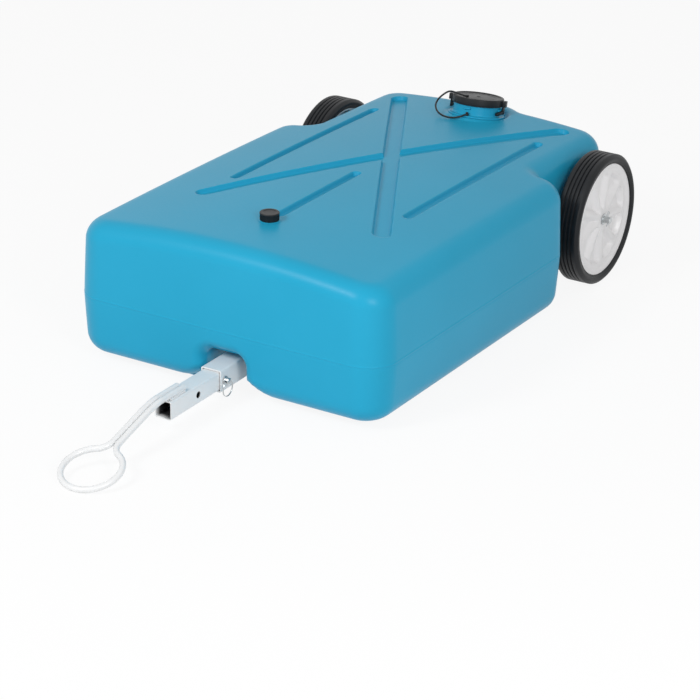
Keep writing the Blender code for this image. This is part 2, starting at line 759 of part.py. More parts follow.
def cotter_pin(root, label, side, zinc):
    # An eye above the axle and a shank through its cross hole, its end bent round below
    top = AXLE_R + 0.0008
    eye_z = top + COTTER_LOOP_R + COTTER_R
    centre = (0.0, eye_z)
    points = [(y, z) for y, z in arc(centre, COTTER_LOOP_R, math.radians(-35), math.radians(270), 8)]
    points += [(0.0, z) for z in (AXLE_R * 0.6, 0.0, -AXLE_R - 0.0015)]
    points += arc((-0.0030, -AXLE_R - 0.0030), 0.0030, 0.0, math.radians(-80), 3)
    route = [(side * COTTER_X, WHEEL_Y + y, WHEEL_R + z) for y, z in points]
    return solid_from_curve(swept("cotter_pin_" + label, route, COTTER_R, root, zinc, 1), zinc)


# Tow gear

ROD_Z = TOW_Z + DRAW_TUBE / 2 + ROD_R + SEAT_GAP
LOOP_TIP = LOOP_REACH + LOOP_R
LOOP_DROP = math.asin((ROD_Z - ROD_R - GROUND_GAP) / LOOP_TIP)


def tow_loop(root, mat):
    offset = ROD_R + SEAT_GAP
    throat = math.sqrt((LOOP_R + LOOP_THROAT_R) ** 2 - (offset + LOOP_THROAT_R) ** 2)
    swing = math.atan2(throat, offset + LOOP_THROAT_R)
    throat_v = LOOP_REACH - throat

    # Half of the loop in its own plane: u across, v forward from the bend
    half = [(offset, ROD_BEND_R), (offset, throat_v * 0.5)]
    half += arc((offset + LOOP_THROAT_R, throat_v), LOOP_THROAT_R, math.pi, math.pi - swing, 4)
    ring_start = math.atan2(-throat, offset + LOOP_THROAT_R)
    half += arc((0.0, LOOP_REACH), LOOP_R, ring_start, math.pi / 2, 10)[1:]
    half[-1] = (0.0, half[-1][1])

    def in_plane(u, v):
        return (u, ROD_BEND_Y - v * math.cos(LOOP_DROP), ROD_Z - v * math.sin(LOOP_DROP))

    side = [(offset, ROD_REAR_Y, ROD_Z), (offset, ROD_BEND_Y + ROD_BEND_R * 1.4, ROD_Z)]
    knee = [(offset, ROD_BEND_Y + ROD_BEND_R * 0.45, ROD_Z - 0.0004)]
    right = side + knee + [in_plane(u, v) for u, v in half]
    left = [(-x, y, z) for x, y, z in reversed(right[:-1])]
    return solid_from_curve(swept("tow_loop", right + left, ROD_R, root, mat, 2), mat)


def tow_gear(root, mat, zinc):
    receiver = square_tube("receiver_tube", RECEIVER, RECEIVER_WALL, RECEIVER_FRONT_Y, RECEIVER_LENGTH, root, mat)
    cross_hole(receiver, PIN_Y, root)
    draw = square_tube("draw_tube", DRAW_TUBE, DRAW_WALL, DRAW_FRONT_Y, DRAW_LENGTH, root, mat)
    cross_hole(draw, PIN_Y, root)
    cross_hole(draw, SPARE_HOLE_Y, root)
    tow_loop(root, mat)

    plate = place("mounting_plate", box_mesh("mounting_plate", (PLATE_WIDTH, PLATE_LENGTH, PLATE_THICKNESS)),
                  root, mat, (0, PLATE_Y, PLATE_Z))
    for x, y in BOLTS:
        cut(plate, place("bolt_hole", cylinder_mesh("bolt_hole", BOLT_R + SEAT_GAP, 3 * PLATE_THICKNESS, 12), root,
                         location=(x, y, PLATE_Z)))

    for number, (x, y) in enumerate(BOLTS, 1):
        plate_fastener(number, x, y, root, zinc)


def plate_fastener(number, x, y, root, zinc):
    # A hexagon bolt and its washer, driven up into an insert moulded into the pocket's roof
    washer_z = PLATE_Z - PLATE_THICKNESS / 2 - SEAT_GAP - BOLT_WASHER / 2
    washer = place(f"plate_washer_{number}", cylinder_mesh("washer", BOLT_WASHER_R, BOLT_WASHER, 12), root, zinc,
                   (x, y, washer_z))
    cut(washer, place("hole", cylinder_mesh("hole", BOLT_R + SEAT_GAP, 4 * BOLT_WASHER, 12), root,
                      location=(x, y, washer_z)))
    head_top = washer_z - BOLT_WASHER / 2 - SEAT_GAP
    bolt = place(f"plate_bolt_{number}", cylinder_mesh("bolt", BOLT_HEAD_R, BOLT_HEAD, 6), root, zinc,
                 (x, y, head_top - BOLT_HEAD / 2))
    root_depth = BOLT_HEAD / 2
    join(bolt, place("shank", cylinder_mesh("shank", BOLT_R, BOLT_LENGTH + root_depth, 12), root,
                     location=(x, y, head_top + (BOLT_LENGTH - root_depth) / 2)))
    insert = place(f"threaded_insert_{number}", cylinder_mesh("insert", INSERT_R, INSERT_LENGTH, 12), root, zinc,
                   (x, y, POCKET_ROOF_Z + INSERT_LENGTH / 2))
    cut(insert, place("tap", cylinder_mesh("tap", BOLT_R + SEAT_GAP, 3 * INSERT_LENGTH, 12), root,
                      location=(x, y, POCKET_ROOF_Z)))


def hitch_pin(root, zinc):
    head_x = RECEIVER / 2 + SEAT_GAP
    reach = RECEIVER / 2 + PIN_TAIL
    profile = [(0.0, PIN_HEAD), (PIN_HEAD_R * 0.72, PIN_HEAD), (PIN_HEAD_R * 0.72, 0.002), (PIN_HEAD_R, 0.002),
               (PIN_HEAD_R, 0.0), (PIN_R, 0.0), (PIN_R, -head_x - reach + 0.002), (PIN_R - 0.0015, -head_x - reach),
               (0.0, -head_x - reach)]
    pin = turned("hitch_pin", profile, root, zinc, 16, False, (head_x, PIN_Y, TOW_Z), (0, math.pi / 2, 0))
    spot = (head_x + PIN_HEAD * 0.6, PIN_Y, TOW_Z)
    cut(pin, place("ring_hole", cylinder_mesh("ring_hole", PIN_EYE_R, 4 * PIN_HEAD_R, 12), root, location=spot,
                   rotation=(math.pi / 2, 0, 0)))
    centre = Vector((spot[0], spot[1], spot[2] - PIN_RING_R + PIN_RING_SAG))
    bpy.ops.mesh.primitive_torus_add(major_radius=PIN_RING_R, minor_radius=PIN_RING_WIRE_R, major_segments=20,
                                     minor_segments=6)
    torus = bpy.context.object
    mesh = torus.data
    bpy.data.objects.remove(torus, do_unlink=True)
    ring = place("pin_ring", mesh, root, zinc, centre, (0, math.pi / 2, 0))
    smooth(ring)


# Filler

def polar_block(name, inner, outer, start, end, low, high, slope, steps=6):
    # A block between two radii and two angles whose floor and top rise with the turn, like a thread's
    half = []
    for k in range(steps + 1):
        turn = start + (end - start) * k / steps
        half.append((turn, slope * (turn - (start + end) / 2)))
    rings = []
    for turn, rise in half:
        c, s = math.cos(turn), math.sin(turn)
        rings.append([(inner * c, inner * s, low + rise), (outer * c, outer * s, low + rise),
                      (outer * c, outer * s, high + rise), (inner * c, inner * s, high + rise)])
    bm = bmesh.new()
    rows = [[bm.verts.new(point) for point in ring] for ring in rings]
    for here, there in zip(rows, rows[1:]):
        for i in range(4):
            j = (i + 1) % 4
            bm.faces.new((here[i], here[j], there[j], there[i]))
    bm.faces.new(rows[0])
    bm.faces.new(rows[-1])
    return mesh_from_bmesh(name, bm)


LUG_SLOPE = CAP_LIFT_PER_TURN / (2 * math.pi)


def filler(frame, tank_mat, black, rubber):
    profile = [(NECK_R, NECK_HEIGHT), (NECK_R, NECK_FLANGE + NECK_FILLET), (NECK_R + NECK_FILLET, NECK_FLANGE),
               (NECK_FLANGE_R, NECK_FLANGE), (NECK_FLANGE_R, SEAT_GAP), (NECK_R, SEAT_GAP),
               (NECK_R, -NECK_SPIGOT), (NECK_BORE_R, -NECK_SPIGOT), (NECK_BORE_R, NECK_HEIGHT)]
    neck = turned("fill_neck", profile, frame, tank_mat, FILLER_SIDES, True)
    for k in range(LUG_COUNT):
        turn = LUG_ANGLE + 2 * math.pi * k / LUG_COUNT
        join(neck, place("lug", polar_block("lug", NECK_R - 0.002, NECK_R + LUG_DEPTH, turn - LUG_ARC / 2,
                                            turn + LUG_ARC / 2, LUG_Z, LUG_Z + LUG_HEIGHT, LUG_SLOPE, 4), frame))

    gasket_z = NECK_HEIGHT + SEAT_GAP
    turned("fill_cap_gasket", tube_ring(NECK_R - 0.0005, NECK_BORE_R + 0.001, gasket_z + GASKET, gasket_z),
           frame, rubber, FILLER_SIDES, True)

    under = gasket_z + GASKET + SEAT_GAP
    skirt_inner = NECK_R + 0.0012
    top = under + CAP_TOP
    bottom = top - CAP_SKIRT
    profile = [(0.0, top + 0.0012), (0.004, top + 0.0012), (0.006, top), (CAP_R - 0.006, top),
               (CAP_R - 0.0045, top + CAP_RIM), (CAP_R - 0.0012, top + CAP_RIM), (CAP_R, top), (CAP_R, bottom),
               (skirt_inner, bottom), (skirt_inner, under), (0.0, under)]
    cap = turned("fill_cap", profile, frame, black, FILLER_SIDES, False)
    arm_inner = NECK_R + LUG_DEPTH + 0.0008
    arm_outer = arm_inner + ARM_THICKNESS
    lug_turn = LUG_ANGLE + math.pi / 2
    claw_top = LUG_Z - SEAT_GAP
    for turn in (0.0, math.pi):
        mid = turn + ARM_ANGLE
        ear = ARM_WIDTH / arm_outer / 2
        arm = ear * 0.9
        heel = mid + ear * 0.8
        low = claw_top - CLAW_HEIGHT - 0.001
        join(cap, place("ear", polar_block("ear", CAP_R - 0.002, arm_outer + 0.0035, mid - ear, mid + ear,
                                           bottom + 0.0006, top - 0.0006, 0.0, 3), frame))
        join(cap, place("arm", polar_block("arm", arm_inner, arm_outer, mid - arm, mid + arm, low,
                                           bottom + 0.003, 0.0, 3), frame))
        rise = LUG_SLOPE * (heel - CLAW_ARC / 2 - (turn + lug_turn))
        join(cap, place("claw", polar_block("claw", NECK_R + 0.0009, arm_outer - 0.0006, heel - CLAW_ARC, heel,
                                            claw_top - CLAW_HEIGHT + rise, claw_top + rise, LUG_SLOPE, 6), frame))
    ear_hole = (arm_outer + 0.0005, math.pi + ARM_ANGLE)
    strap(frame, black, top, ear_hole, cap)


def strap(frame, mat, top, ear_hole, cap):
    # The lanyard runs from a stud in the neck's flange, out and round, over the cap's ear to its knob
    c, s = math.cos(STRAP_ANCHOR_ANGLE), math.sin(STRAP_ANCHOR_ANGLE)
    foot = (STRAP_ANCHOR_RADIUS * c, STRAP_ANCHOR_RADIUS * s)
    base = NECK_FLANGE + SEAT_GAP
    profile = [(0.0, 0.0072), (0.0018, 0.0066), (STRAP_BALL_R, 0.0046), (0.0018, 0.0030), (0.0018, 0.0016),
               (STRAP_BALL_R, 0.0012), (STRAP_BALL_R, 0.0), (0.0, 0.0)]
    turned("strap_anchor", profile, frame, mat, 12, False, (foot[0], foot[1], base))

    def at(degrees, radius, z):
        turn = math.radians(degrees)
        return Vector((radius * math.cos(turn), radius * math.sin(turn), z))

    lie = top + CAP_RIM + STRAP_R + SEAT_GAP
    route = [at(-91.5, 0.0515, 0.0060), at(-100, 0.0545, 0.0050), at(-112, 0.0620, 0.0052), at(-124, 0.0700, 0.0080),
             at(-136, 0.0765, 0.0135), at(-147, 0.0800, 0.0200), at(-157, 0.0790, 0.0270), at(-164, 0.0730, 0.0330),
             at(-167, 0.0640, lie - 0.0006), at(-165, 0.0540, lie + 0.0002), at(-157, 0.0460, lie),
             at(-143, 0.0410, lie), at(-126, 0.0390, lie)]
    points = []
    for i in range(len(route) - 1):
        p0, p1, p2, p3 = route[max(i - 1, 0)], route[i], route[i + 1], route[min(i + 2, len(route) - 1)]
        for k in range(2):
            t = k / 2
            points.append(0.5 * (2 * p1 + (p2 - p0) * t + (2 * p0 - 5 * p1 + 4 * p2 - p3) * t * t
                                 + (3 * p1 - p0 - 3 * p2 + p3) * t * t * t))
    points.append(route[-1])
    cord = solid_from_curve(swept("cap_strap", points, STRAP_R, frame, mat, 2), mat)
    return cord


# Vent

def vent(frame, tank_mat, black, rubber):
    profile = [(VENT_NECK_R, VENT_NECK_HEIGHT), (VENT_NECK_R, VENT_FLANGE), (VENT_FLANGE_R, VENT_FLANGE),
               (VENT_FLANGE_R, SEAT_GAP), (VENT_SPIGOT_R, SEAT_GAP), (VENT_SPIGOT_R, -VENT_SPIGOT),
               (VENT_BORE_R, -VENT_SPIGOT),
               (VENT_BORE_R, VENT_NECK_HEIGHT)]
    turned("vent_neck", profile, frame, tank_mat, VENT_SIDES, True)
    washer_z = VENT_NECK_HEIGHT + SEAT_GAP
    turned("vent_washer", tube_ring(VENT_NECK_R, VENT_BORE_R + 0.0008, washer_z + VENT_WASHER, washer_z), frame,
           rubber, VENT_SIDES, True)
    under = washer_z + VENT_WASHER + SEAT_GAP
    bottom = VENT_FLANGE + SEAT_GAP
    top = bottom + VENT_CAP_HEIGHT
    bore = VENT_NECK_R + RUNNING_GAP * 4
    rings = []
    steps = 2 * VENT_RIBS
    lip_z = top - VENT_CAP_LIP_HEIGHT
    for z, lip in ((bottom, 0.0), (lip_z, 0.0), (lip_z + VENT_RIB, VENT_CAP_LIP), (top - VENT_RIB, VENT_CAP_LIP),
                   (top, -VENT_RIB / 2)):
        ring = []
        for k in range(steps):
            turn = 2 * math.pi * k / steps
            radius = VENT_CAP_R + lip - (VENT_RIB if k % 2 and lip == 0.0 else 0.0)
            ring.append((radius * math.cos(turn), radius * math.sin(turn), z))
        rings.append(ring)
    bm = bmesh.new()
    rows = [[bm.verts.new(point) for point in ring] for ring in rings]
    for low, high in zip(rows, rows[1:]):
        for i in range(steps):
            j = (i + 1) % steps
            bm.faces.new((low[i], low[j], high[j], high[i]))
    bm.faces.new(rows[0])
    bm.faces.new(rows[-1])
    cap = place("vent_cap", mesh_from_bmesh("vent_cap", bm), frame, black)
    depth = under - bottom
    cut(cap, place("thread_bore", cylinder_mesh("thread_bore", bore, 2 * depth, VENT_SIDES), frame,
                   location=(0, 0, bottom)))


def build():
    nose = ROD_BEND_Y - LOOP_TIP * math.cos(LOOP_DROP) - ROD_R
    tail = REAR_Y + LOBE_REACH
    root = empty("tank_frame", None, (0, -(nose + tail) / 2, 0))
    neck_frame = empty("filler_frame", root, (0, NECK_Y, NECK_Z), (-NECK_TILT, 0, 0))
    vent_frame = empty("vent_frame", root, (0, VENT_Y, VENT_Z), (0, 0, VENT_TURN))

    tank_blue = finish("tank_blue_polyethylene", TANK_BLUE, 0.42)
    black = finish("black_plastic", (0.025, 0.026, 0.028), 0.45)
    rubber = finish("black_rubber", TYRE_BLACK, 0.75)
    hub_white = finish("hub_white_plastic", SHELL_WHITE, 0.38)
    tow_white = finish("white_powder_coat", SHELL_WHITE, 0.34)
    zinc = finish("zinc_plate", ZINC, 0.34, 1.0)
    nylon = finish("natural_nylon", (0.72, 0.71, 0.67), 0.5)

    tank_shell(root, neck_frame, vent_frame, tank_blue)
    axle(root, zinc)
    for label, side in (("left", -1), ("right", 1)):
        wheel_tyre("tyre_" + label, root, side * WHEEL_X, side, rubber)
        wheel_hub("wheel_hub_" + label, root, side * WHEEL_X, side, hub_white)
        axle_fittings(root, label, side, nylon, zinc)
        cotter_pin(root, label, side, zinc)
    tow_gear(root, tow_white, zinc)
    hitch_pin(root, zinc)
    filler(neck_frame, tank_blue, black, rubber)
    vent(vent_frame, tank_blue, black, rubber)
    bpy.context.view_layer.update()


build()
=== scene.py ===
import json
import math

import bmesh
import bpy
import numpy as np
from mathutils import Matrix, Vector
from mathutils.geometry import delaunay_2d_cdt


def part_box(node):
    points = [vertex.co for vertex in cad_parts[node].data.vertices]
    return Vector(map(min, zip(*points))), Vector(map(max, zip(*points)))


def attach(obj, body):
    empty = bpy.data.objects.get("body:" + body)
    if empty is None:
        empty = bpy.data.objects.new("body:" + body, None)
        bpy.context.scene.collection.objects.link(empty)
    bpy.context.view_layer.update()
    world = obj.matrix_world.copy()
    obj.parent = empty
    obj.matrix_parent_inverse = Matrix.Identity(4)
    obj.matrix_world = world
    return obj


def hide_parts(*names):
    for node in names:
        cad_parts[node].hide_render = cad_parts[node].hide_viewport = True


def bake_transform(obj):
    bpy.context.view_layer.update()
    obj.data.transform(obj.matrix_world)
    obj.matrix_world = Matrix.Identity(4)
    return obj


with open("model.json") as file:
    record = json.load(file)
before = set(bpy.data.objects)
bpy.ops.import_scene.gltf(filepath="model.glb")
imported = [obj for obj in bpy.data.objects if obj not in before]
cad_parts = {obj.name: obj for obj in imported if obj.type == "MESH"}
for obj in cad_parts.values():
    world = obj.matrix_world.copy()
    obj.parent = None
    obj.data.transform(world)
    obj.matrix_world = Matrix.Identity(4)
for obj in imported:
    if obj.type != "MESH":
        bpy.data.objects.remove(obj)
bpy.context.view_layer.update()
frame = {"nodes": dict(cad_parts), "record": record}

quarter = math.pi / 2
print("frame:", len(frame["nodes"]), "nodes")


def asObject(data, name=None):
    item = bpy.data.objects.new(name or data.name, data)
    bpy.context.scene.collection.objects.link(item)
    return item


# Camera

view = {"location": (2.38538, -3.90389, 1.99542), "lens": 140.703, "sensor": 36.0, "clip": 60.0,
        "right": (0.857182, 0.514647, 0.019428), "up": (-0.222303, 0.335708, 0.915358),
        "back": (0.464564, -0.788948, 0.402171)}


def makeCamera():
    data = bpy.data.cameras.new("camera")
    data.lens = view["lens"]
    data.sensor_width = view["sensor"]
    data.clip_end = view["clip"]
    camera = asObject(data)
    turn = Matrix((view["right"], view["up"], view["back"])).transposed()
    camera.matrix_world = Matrix.Translation(view["location"]) @ turn.to_4x4()
    bpy.context.scene.camera = camera
    bpy.context.scene.view_settings.view_transform = "Standard"


makeCamera()


# Shader maths

class Wire:
    def __init__(self, tree, socket):
        self.tree = tree
        self.socket = socket

    def maths(self, kind, first, second):
        return addNode(self.tree, "ShaderNodeMath", {"operation": kind}, {0: first, 1: second})

    def __add__(self, other):
        return self.maths("ADD", self, other)

    def __radd__(self, other):
        return self.maths("ADD", other, self)

    def __sub__(self, other):
        return self.maths("SUBTRACT", self, other)

    def __rsub__(self, other):
        return self.maths("SUBTRACT", other, self)

    def __mul__(self, other):
        return self.maths("MULTIPLY", self, other)

    def __rmul__(self, other):
        return self.maths("MULTIPLY", other, self)

    def most(self, other):
        return self.maths("MAXIMUM", self, other)

    def least(self, other):
        return self.maths("MINIMUM", self, other)


def plug(tree, value, socket):
    if isinstance(value, Wire):
        tree.links.new(value.socket, socket)
    else:
        socket.default_value = value


def addNode(tree, kind, settings, sockets, out=0):
    node = tree.nodes.new(kind)
    for label, value in settings.items():
        setattr(node, label, value)
    for label, value in sockets.items():
        plug(tree, value, node.inputs[label])
    return Wire(tree, node.outputs[out])


class Finish:
    def __init__(self, name, **sockets):
        self.material = bpy.data.materials.new(name)
        self.material.use_nodes = True
        self.tree = self.material.node_tree
        self.shader = self.tree.nodes["Principled BSDF"]
        for label, value in sockets.items():
            plug(self.tree, value, self.shader.inputs[label.replace("_", " ")])
        self.place = self.node("ShaderNodeTexCoord", {}, {}, "Object")

    def node(self, kind, settings, sockets, out=0):
        return addNode(self.tree, kind, settings, sockets, out)

    def noise(self, scale, detail=2.0, roughness=0.5):
        return self.node("ShaderNodeTexNoise", {}, {"Vector": self.place, "Scale": scale, "Detail": detail,
                                                    "Roughness": roughness}, "Fac")

    def colours(self, low, high, mix):
        return self.node("ShaderNodeMix", {"data_type": "RGBA"}, {0: mix, 6: low, 7: high}, 2)

    def wear(self, colour, roughness, height, strength, distance):
        bump = self.node("ShaderNodeBump", {}, {"Height": height, "Strength": strength, "Distance": distance})
        for label, value in (("Base Color", colour), ("Roughness", roughness), ("Normal", bump)):
            plug(self.tree, value, self.shader.inputs[label])
        return self.material


def rgb(red, green, blue):
    return (red, green, blue, 1.0)


# Finishes

def tankBlue():
    skin = Finish("tankBlue", IOR=1.5, Specular_IOR_Level=0.14)
    cloud = skin.noise(6.0, 3.0)
    grain = skin.noise(1100.0)
    peel = skin.noise(240.0)
    scuff = ((skin.noise(38.0, 6.0, 0.7) - 0.62) * 6.0).most(0.0).least(1.0)
    body = skin.colours(rgb(0.015, 0.338, 0.540), rgb(0.021, 0.374, 0.595), cloud)
    colour = skin.colours(body, rgb(0.035, 0.390, 0.590), scuff * 0.22)
    return skin.wear(colour, peel * 0.10 + scuff * 0.06 + 0.29, grain * 0.4 + peel * 0.6, 0.16, 0.0004)


def tyreRubber():
    skin = Finish("tyreRubber", IOR=1.5, Specular_IOR_Level=0.28)
    dust = skin.noise(55.0, 5.0, 0.65)
    colour = skin.colours(rgb(0.004, 0.005, 0.0065), rgb(0.013, 0.015, 0.018), (dust - 0.25) * 1.6)
    return skin.wear(colour, dust * 0.20 + 0.36, skin.noise(1500.0), 0.25, 0.0003)


def hubWhite():
    skin = Finish("hubWhite", IOR=1.5)
    flow = skin.noise(240.0)
    colour = skin.colours(rgb(0.86, 0.85, 0.855), rgb(0.91, 0.90, 0.905), skin.noise(26.0, 3.0))
    return skin.wear(colour, flow * 0.12 + 0.26, flow, 0.10, 0.0003)


def powderCoat():
    skin = Finish("powderCoat", IOR=1.5, Coat_Weight=0.2, Coat_Roughness=0.12)
    peel = skin.noise(900.0, 1.0)
    coat = skin.colours(rgb(0.78, 0.79, 0.795), rgb(0.83, 0.835, 0.84), skin.noise(45.0, 3.0))
    # Painted shade: inside a tube's front end the white coat fades to near black, standing in for the dark
    # there, and gets rougher
    bare = skin.node("ShaderNodeAttribute", {"attribute_name": "bare"}, {}, "Fac")
    colour = skin.colours(coat, rgb(0.022, 0.023, 0.025), bare)
    return skin.wear(colour, peel * 0.12 + 0.26 + bare * 0.25, peel, 0.14, 0.0003)


def blackPlastic():
    skin = Finish("blackPlastic", IOR=1.5, Specular_IOR_Level=0.32)
    shade = skin.noise(70.0, 4.0)
    colour = skin.colours(rgb(0.005, 0.006, 0.007), rgb(0.012, 0.013, 0.015), shade)
    return skin.wear(colour, shade * 0.14 + 0.34, skin.noise(2400.0, 1.0), 0.30, 0.0002)


def sealRubber():
    skin = Finish("sealRubber")
    shade = skin.noise(120.0, 3.0)
    colour = skin.colours(rgb(0.016, 0.016, 0.017), rgb(0.034, 0.034, 0.036), shade)
    return skin.wear(colour, shade * 0.15 + 0.58, skin.noise(1800.0), 0.2, 0.0002)


def naturalNylon():
    skin = Finish("naturalNylon", IOR=1.53)
    shade = skin.noise(90.0, 3.0)
    colour = skin.colours(rgb(0.64, 0.63, 0.58), rgb(0.74, 0.73, 0.69), shade)
    return skin.wear(colour, shade * 0.12 + 0.40, skin.noise(900.0), 0.12, 0.0002)


def zincPlate():
    skin = Finish("zincPlate", Metallic=1.0)
    colour = skin.colours(rgb(0.42, 0.45, 0.46), rgb(0.66, 0.68, 0.69), skin.noise(160.0, 4.0, 0.6))
    return skin.wear(colour, skin.noise(420.0, 3.0) * 0.24 + 0.20, skin.noise(1400.0), 0.12, 0.0002)


finishes = {"tank_blue": tankBlue(), "tyre_rubber": tyreRubber(), "hub_white": hubWhite(),
            "white_powder_coat": powderCoat(), "black_plastic": blackPlastic(), "seal_rubber": sealRubber(),
            "natural_nylon": naturalNylon(), "zinc_plate": zincPlate()}
slotOf = {entry["node"]: entry["material_slot"] for entry in frame["record"]["subparts"]}
for nodeName, nodeObject in frame["nodes"].items():
    nodeObject.data.materials.clear()
    nodeObject.data.materials.append(finishes[slotOf[nodeName]])
print("finishes:", len(finishes))


# Mesh helpers

def settle(item):
    # The evaluated mesh, with the modifiers applied, and the helper object gone
    bpy.context.view_layer.update()
    mesh = bpy.data.meshes.new_from_object(item.evaluated_get(bpy.context.evaluated_depsgraph_get()))
    bpy.data.objects.remove(item, do_unlink=True)
    return mesh


def welded(mesh):
    build = bmesh.new()
    build.from_mesh(mesh)
    bmesh.ops.remove_doubles(build, verts=build.verts[:], dist=0.00001)
    bmesh.ops.recalc_face_normals(build, faces=build.faces[:])
    build.to_mesh(mesh)
    build.free()
    return mesh


def meshFrom(name, points, faces):
    mesh = bpy.data.meshes.new(name)
    mesh.from_pydata([tuple(p) for p in points], [], faces)
    return welded(mesh)


def gathered(name, meshes):
    build = bmesh.new()
    for mesh in meshes:
        build.from_mesh(mesh)
    mesh = bpy.data.meshes.new(name)
    build.to_mesh(mesh)
    build.free()
    return mesh


def bevelled(mesh, width, segments=2):
    item = asObject(mesh)
    bevel = item.modifiers.new("edges", "BEVEL")
    bevel.width = width
    bevel.segments = segments
    bevel.limit_method = "ANGLE"
    bevel.angle_limit = math.radians(30)
    return settle(item)


def cutBy(mesh, cutters, operation="DIFFERENCE"):
    item = asObject(mesh)
    tools = [asObject(cutter) for cutter in cutters]
    for tool in tools:
        step = item.modifiers.new(tool.name, "BOOLEAN")
        step.operation = operation
        step.solver = "EXACT"
        step.object = tool
    result = settle(item)
    for tool in tools:
        bpy.data.objects.remove(tool, do_unlink=True)
    # Slivers along the cuts are closed up
    sliver = 0.000004
    build = bmesh.new()
    build.from_mesh(result)
    bmesh.ops.remove_doubles(build, verts=build.verts[:], dist=sliver)
    bmesh.ops.dissolve_degenerate(build, edges=build.edges[:], dist=sliver)
    bmesh.ops.holes_fill(build, edges=[edge for edge in build.edges if len(edge.link_faces) == 1], sides=8)
    build.to_mesh(result)
    build.free()
    return result


def makePiece(name, mesh, body, slot, *nodes, angle=40, bends=None):
    mesh.name = name
    item = asObject(mesh, name)
    mesh.materials.clear()
    mesh.materials.append(finishes[slot])
    mesh.shade_smooth()
    mesh.set_sharp_from_angle(angle=math.radians(angle))
    if bends:
        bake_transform(item)
    else:
        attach(item, body)
    if nodes:
        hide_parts(*nodes)


def clamp(t):
    return min(max(t, 0.0), 1.0)


def easing(t):
    t = clamp(t)
    return t * t * (3 - 2 * t)


def polar(turn, radius, z):
    return Vector((radius * math.cos(turn), radius * math.sin(turn), z))


def bend(centre, radius, start, end, steps):
    # An arc's points, with both its ends
    return [(centre[0] + radius * math.cos(start + (end - start) * k / steps),
             centre[1] + radius * math.sin(start + (end - start) * k / steps)) for k in range(steps + 1)]


def between(a, b, steps):
    # The points strictly inside a straight run
    return [(a[0] + (b[0] - a[0]) * k / steps, a[1] + (b[1] - a[1]) * k / steps) for k in range(1, steps)]


def quads(rows, count, looped=False, closed=True):
    # Faces between rows of points: looped joins the last row to the first, closed does so within a row
    faces = []
    for r in range(rows if looped else rows - 1):
        here, there = r * count, (r + 1) % rows * count
        for i in range(count if closed else count - 1):
            j = (i + 1) % count
            faces.append((here + i, here + j, there + j, there + i))
    return faces


def soften(corners, closed=True, steps=4):
    # An outline of (u, v, radius) corners, each one rounded by its radius
    out = []
    count = len(corners)
    for k, (u, v, radius) in enumerate(corners):
        here = Vector((u, v))
        if radius <= 0 or (not closed and k in (0, count - 1)):
            out.append((u, v))
            continue
        before = Vector(corners[k - 1][:2]) - here
        after = Vector(corners[(k + 1) % count][:2]) - here
        reach = min(radius / math.tan(before.angle(after) / 2), before.length * 0.49, after.length * 0.49)
        start, end = here + before.normalized() * reach, here + after.normalized() * reach
        for i in range(steps + 1):
            t = i / steps
            spot = start * (1 - t) ** 2 + here * (2 * t * (1 - t)) + end * t * t
            out.append((spot.x, spot.y))
    return out


def revolve(name, profile, sides, place, closed=True):
    # A profile of (radius, height) points turned about Z; a closed one makes a ring
    points = [place @ polar(2 * math.pi * k / sides, r, z) for k in range(sides) for r, z in profile]
    return meshFrom(name, points, quads(sides, len(profile), True, closed))


def ringMesh(name, radii, heights, rounds, sides, place):
    (bore, outer), (low, high), (boreRound, outerRound) = radii, heights, rounds
    profile = [(outer, high, outerRound), (outer, low, outerRound),
               (bore, low, boreRound), (bore, high, boreRound)]
    return revolve(name, soften(profile, steps=3), sides, place)


def drill(radius, length, sides, place):
    half = length / 2
    return revolve("drill", [(0, half), (radius, half), (radius, -half), (0, -half)], sides, place, False)


def smoothPath(route, steps):
    # A curve through every point of the route
    points = []
    for i in range(len(route) - 1):
        a, b, c, d = route[max(i - 1, 0)], route[i], route[i + 1], route[min(i + 2, len(route) - 1)]
        for k in range(steps):
            t = k / steps
            points.append(0.5 * (2 * b + (c - a) * t + (2 * a - 5 * b + 4 * c - d) * t * t
                                 + (3 * b - a - 3 * c + d) * t * t * t))
    return points + [route[-1]]


def rod(name, points, radius, sides, swell=None):
    # A round bar along the points, with swell giving each point's share of the radius
    curve = bpy.data.curves.new(name, "CURVE")
    curve.dimensions = "3D"
    curve.bevel_depth = radius
    curve.bevel_resolution = sides
    curve.use_fill_caps = True
    spline = curve.splines.new("POLY")
    spline.points.add(len(points) - 1)
    for k, (vertex, point) in enumerate(zip(spline.points, points)):
        vertex.co = (*point, 1.0)
        vertex.radius = swell(k, len(points)) if swell else 1.0
    return welded(settle(asObject(curve)))


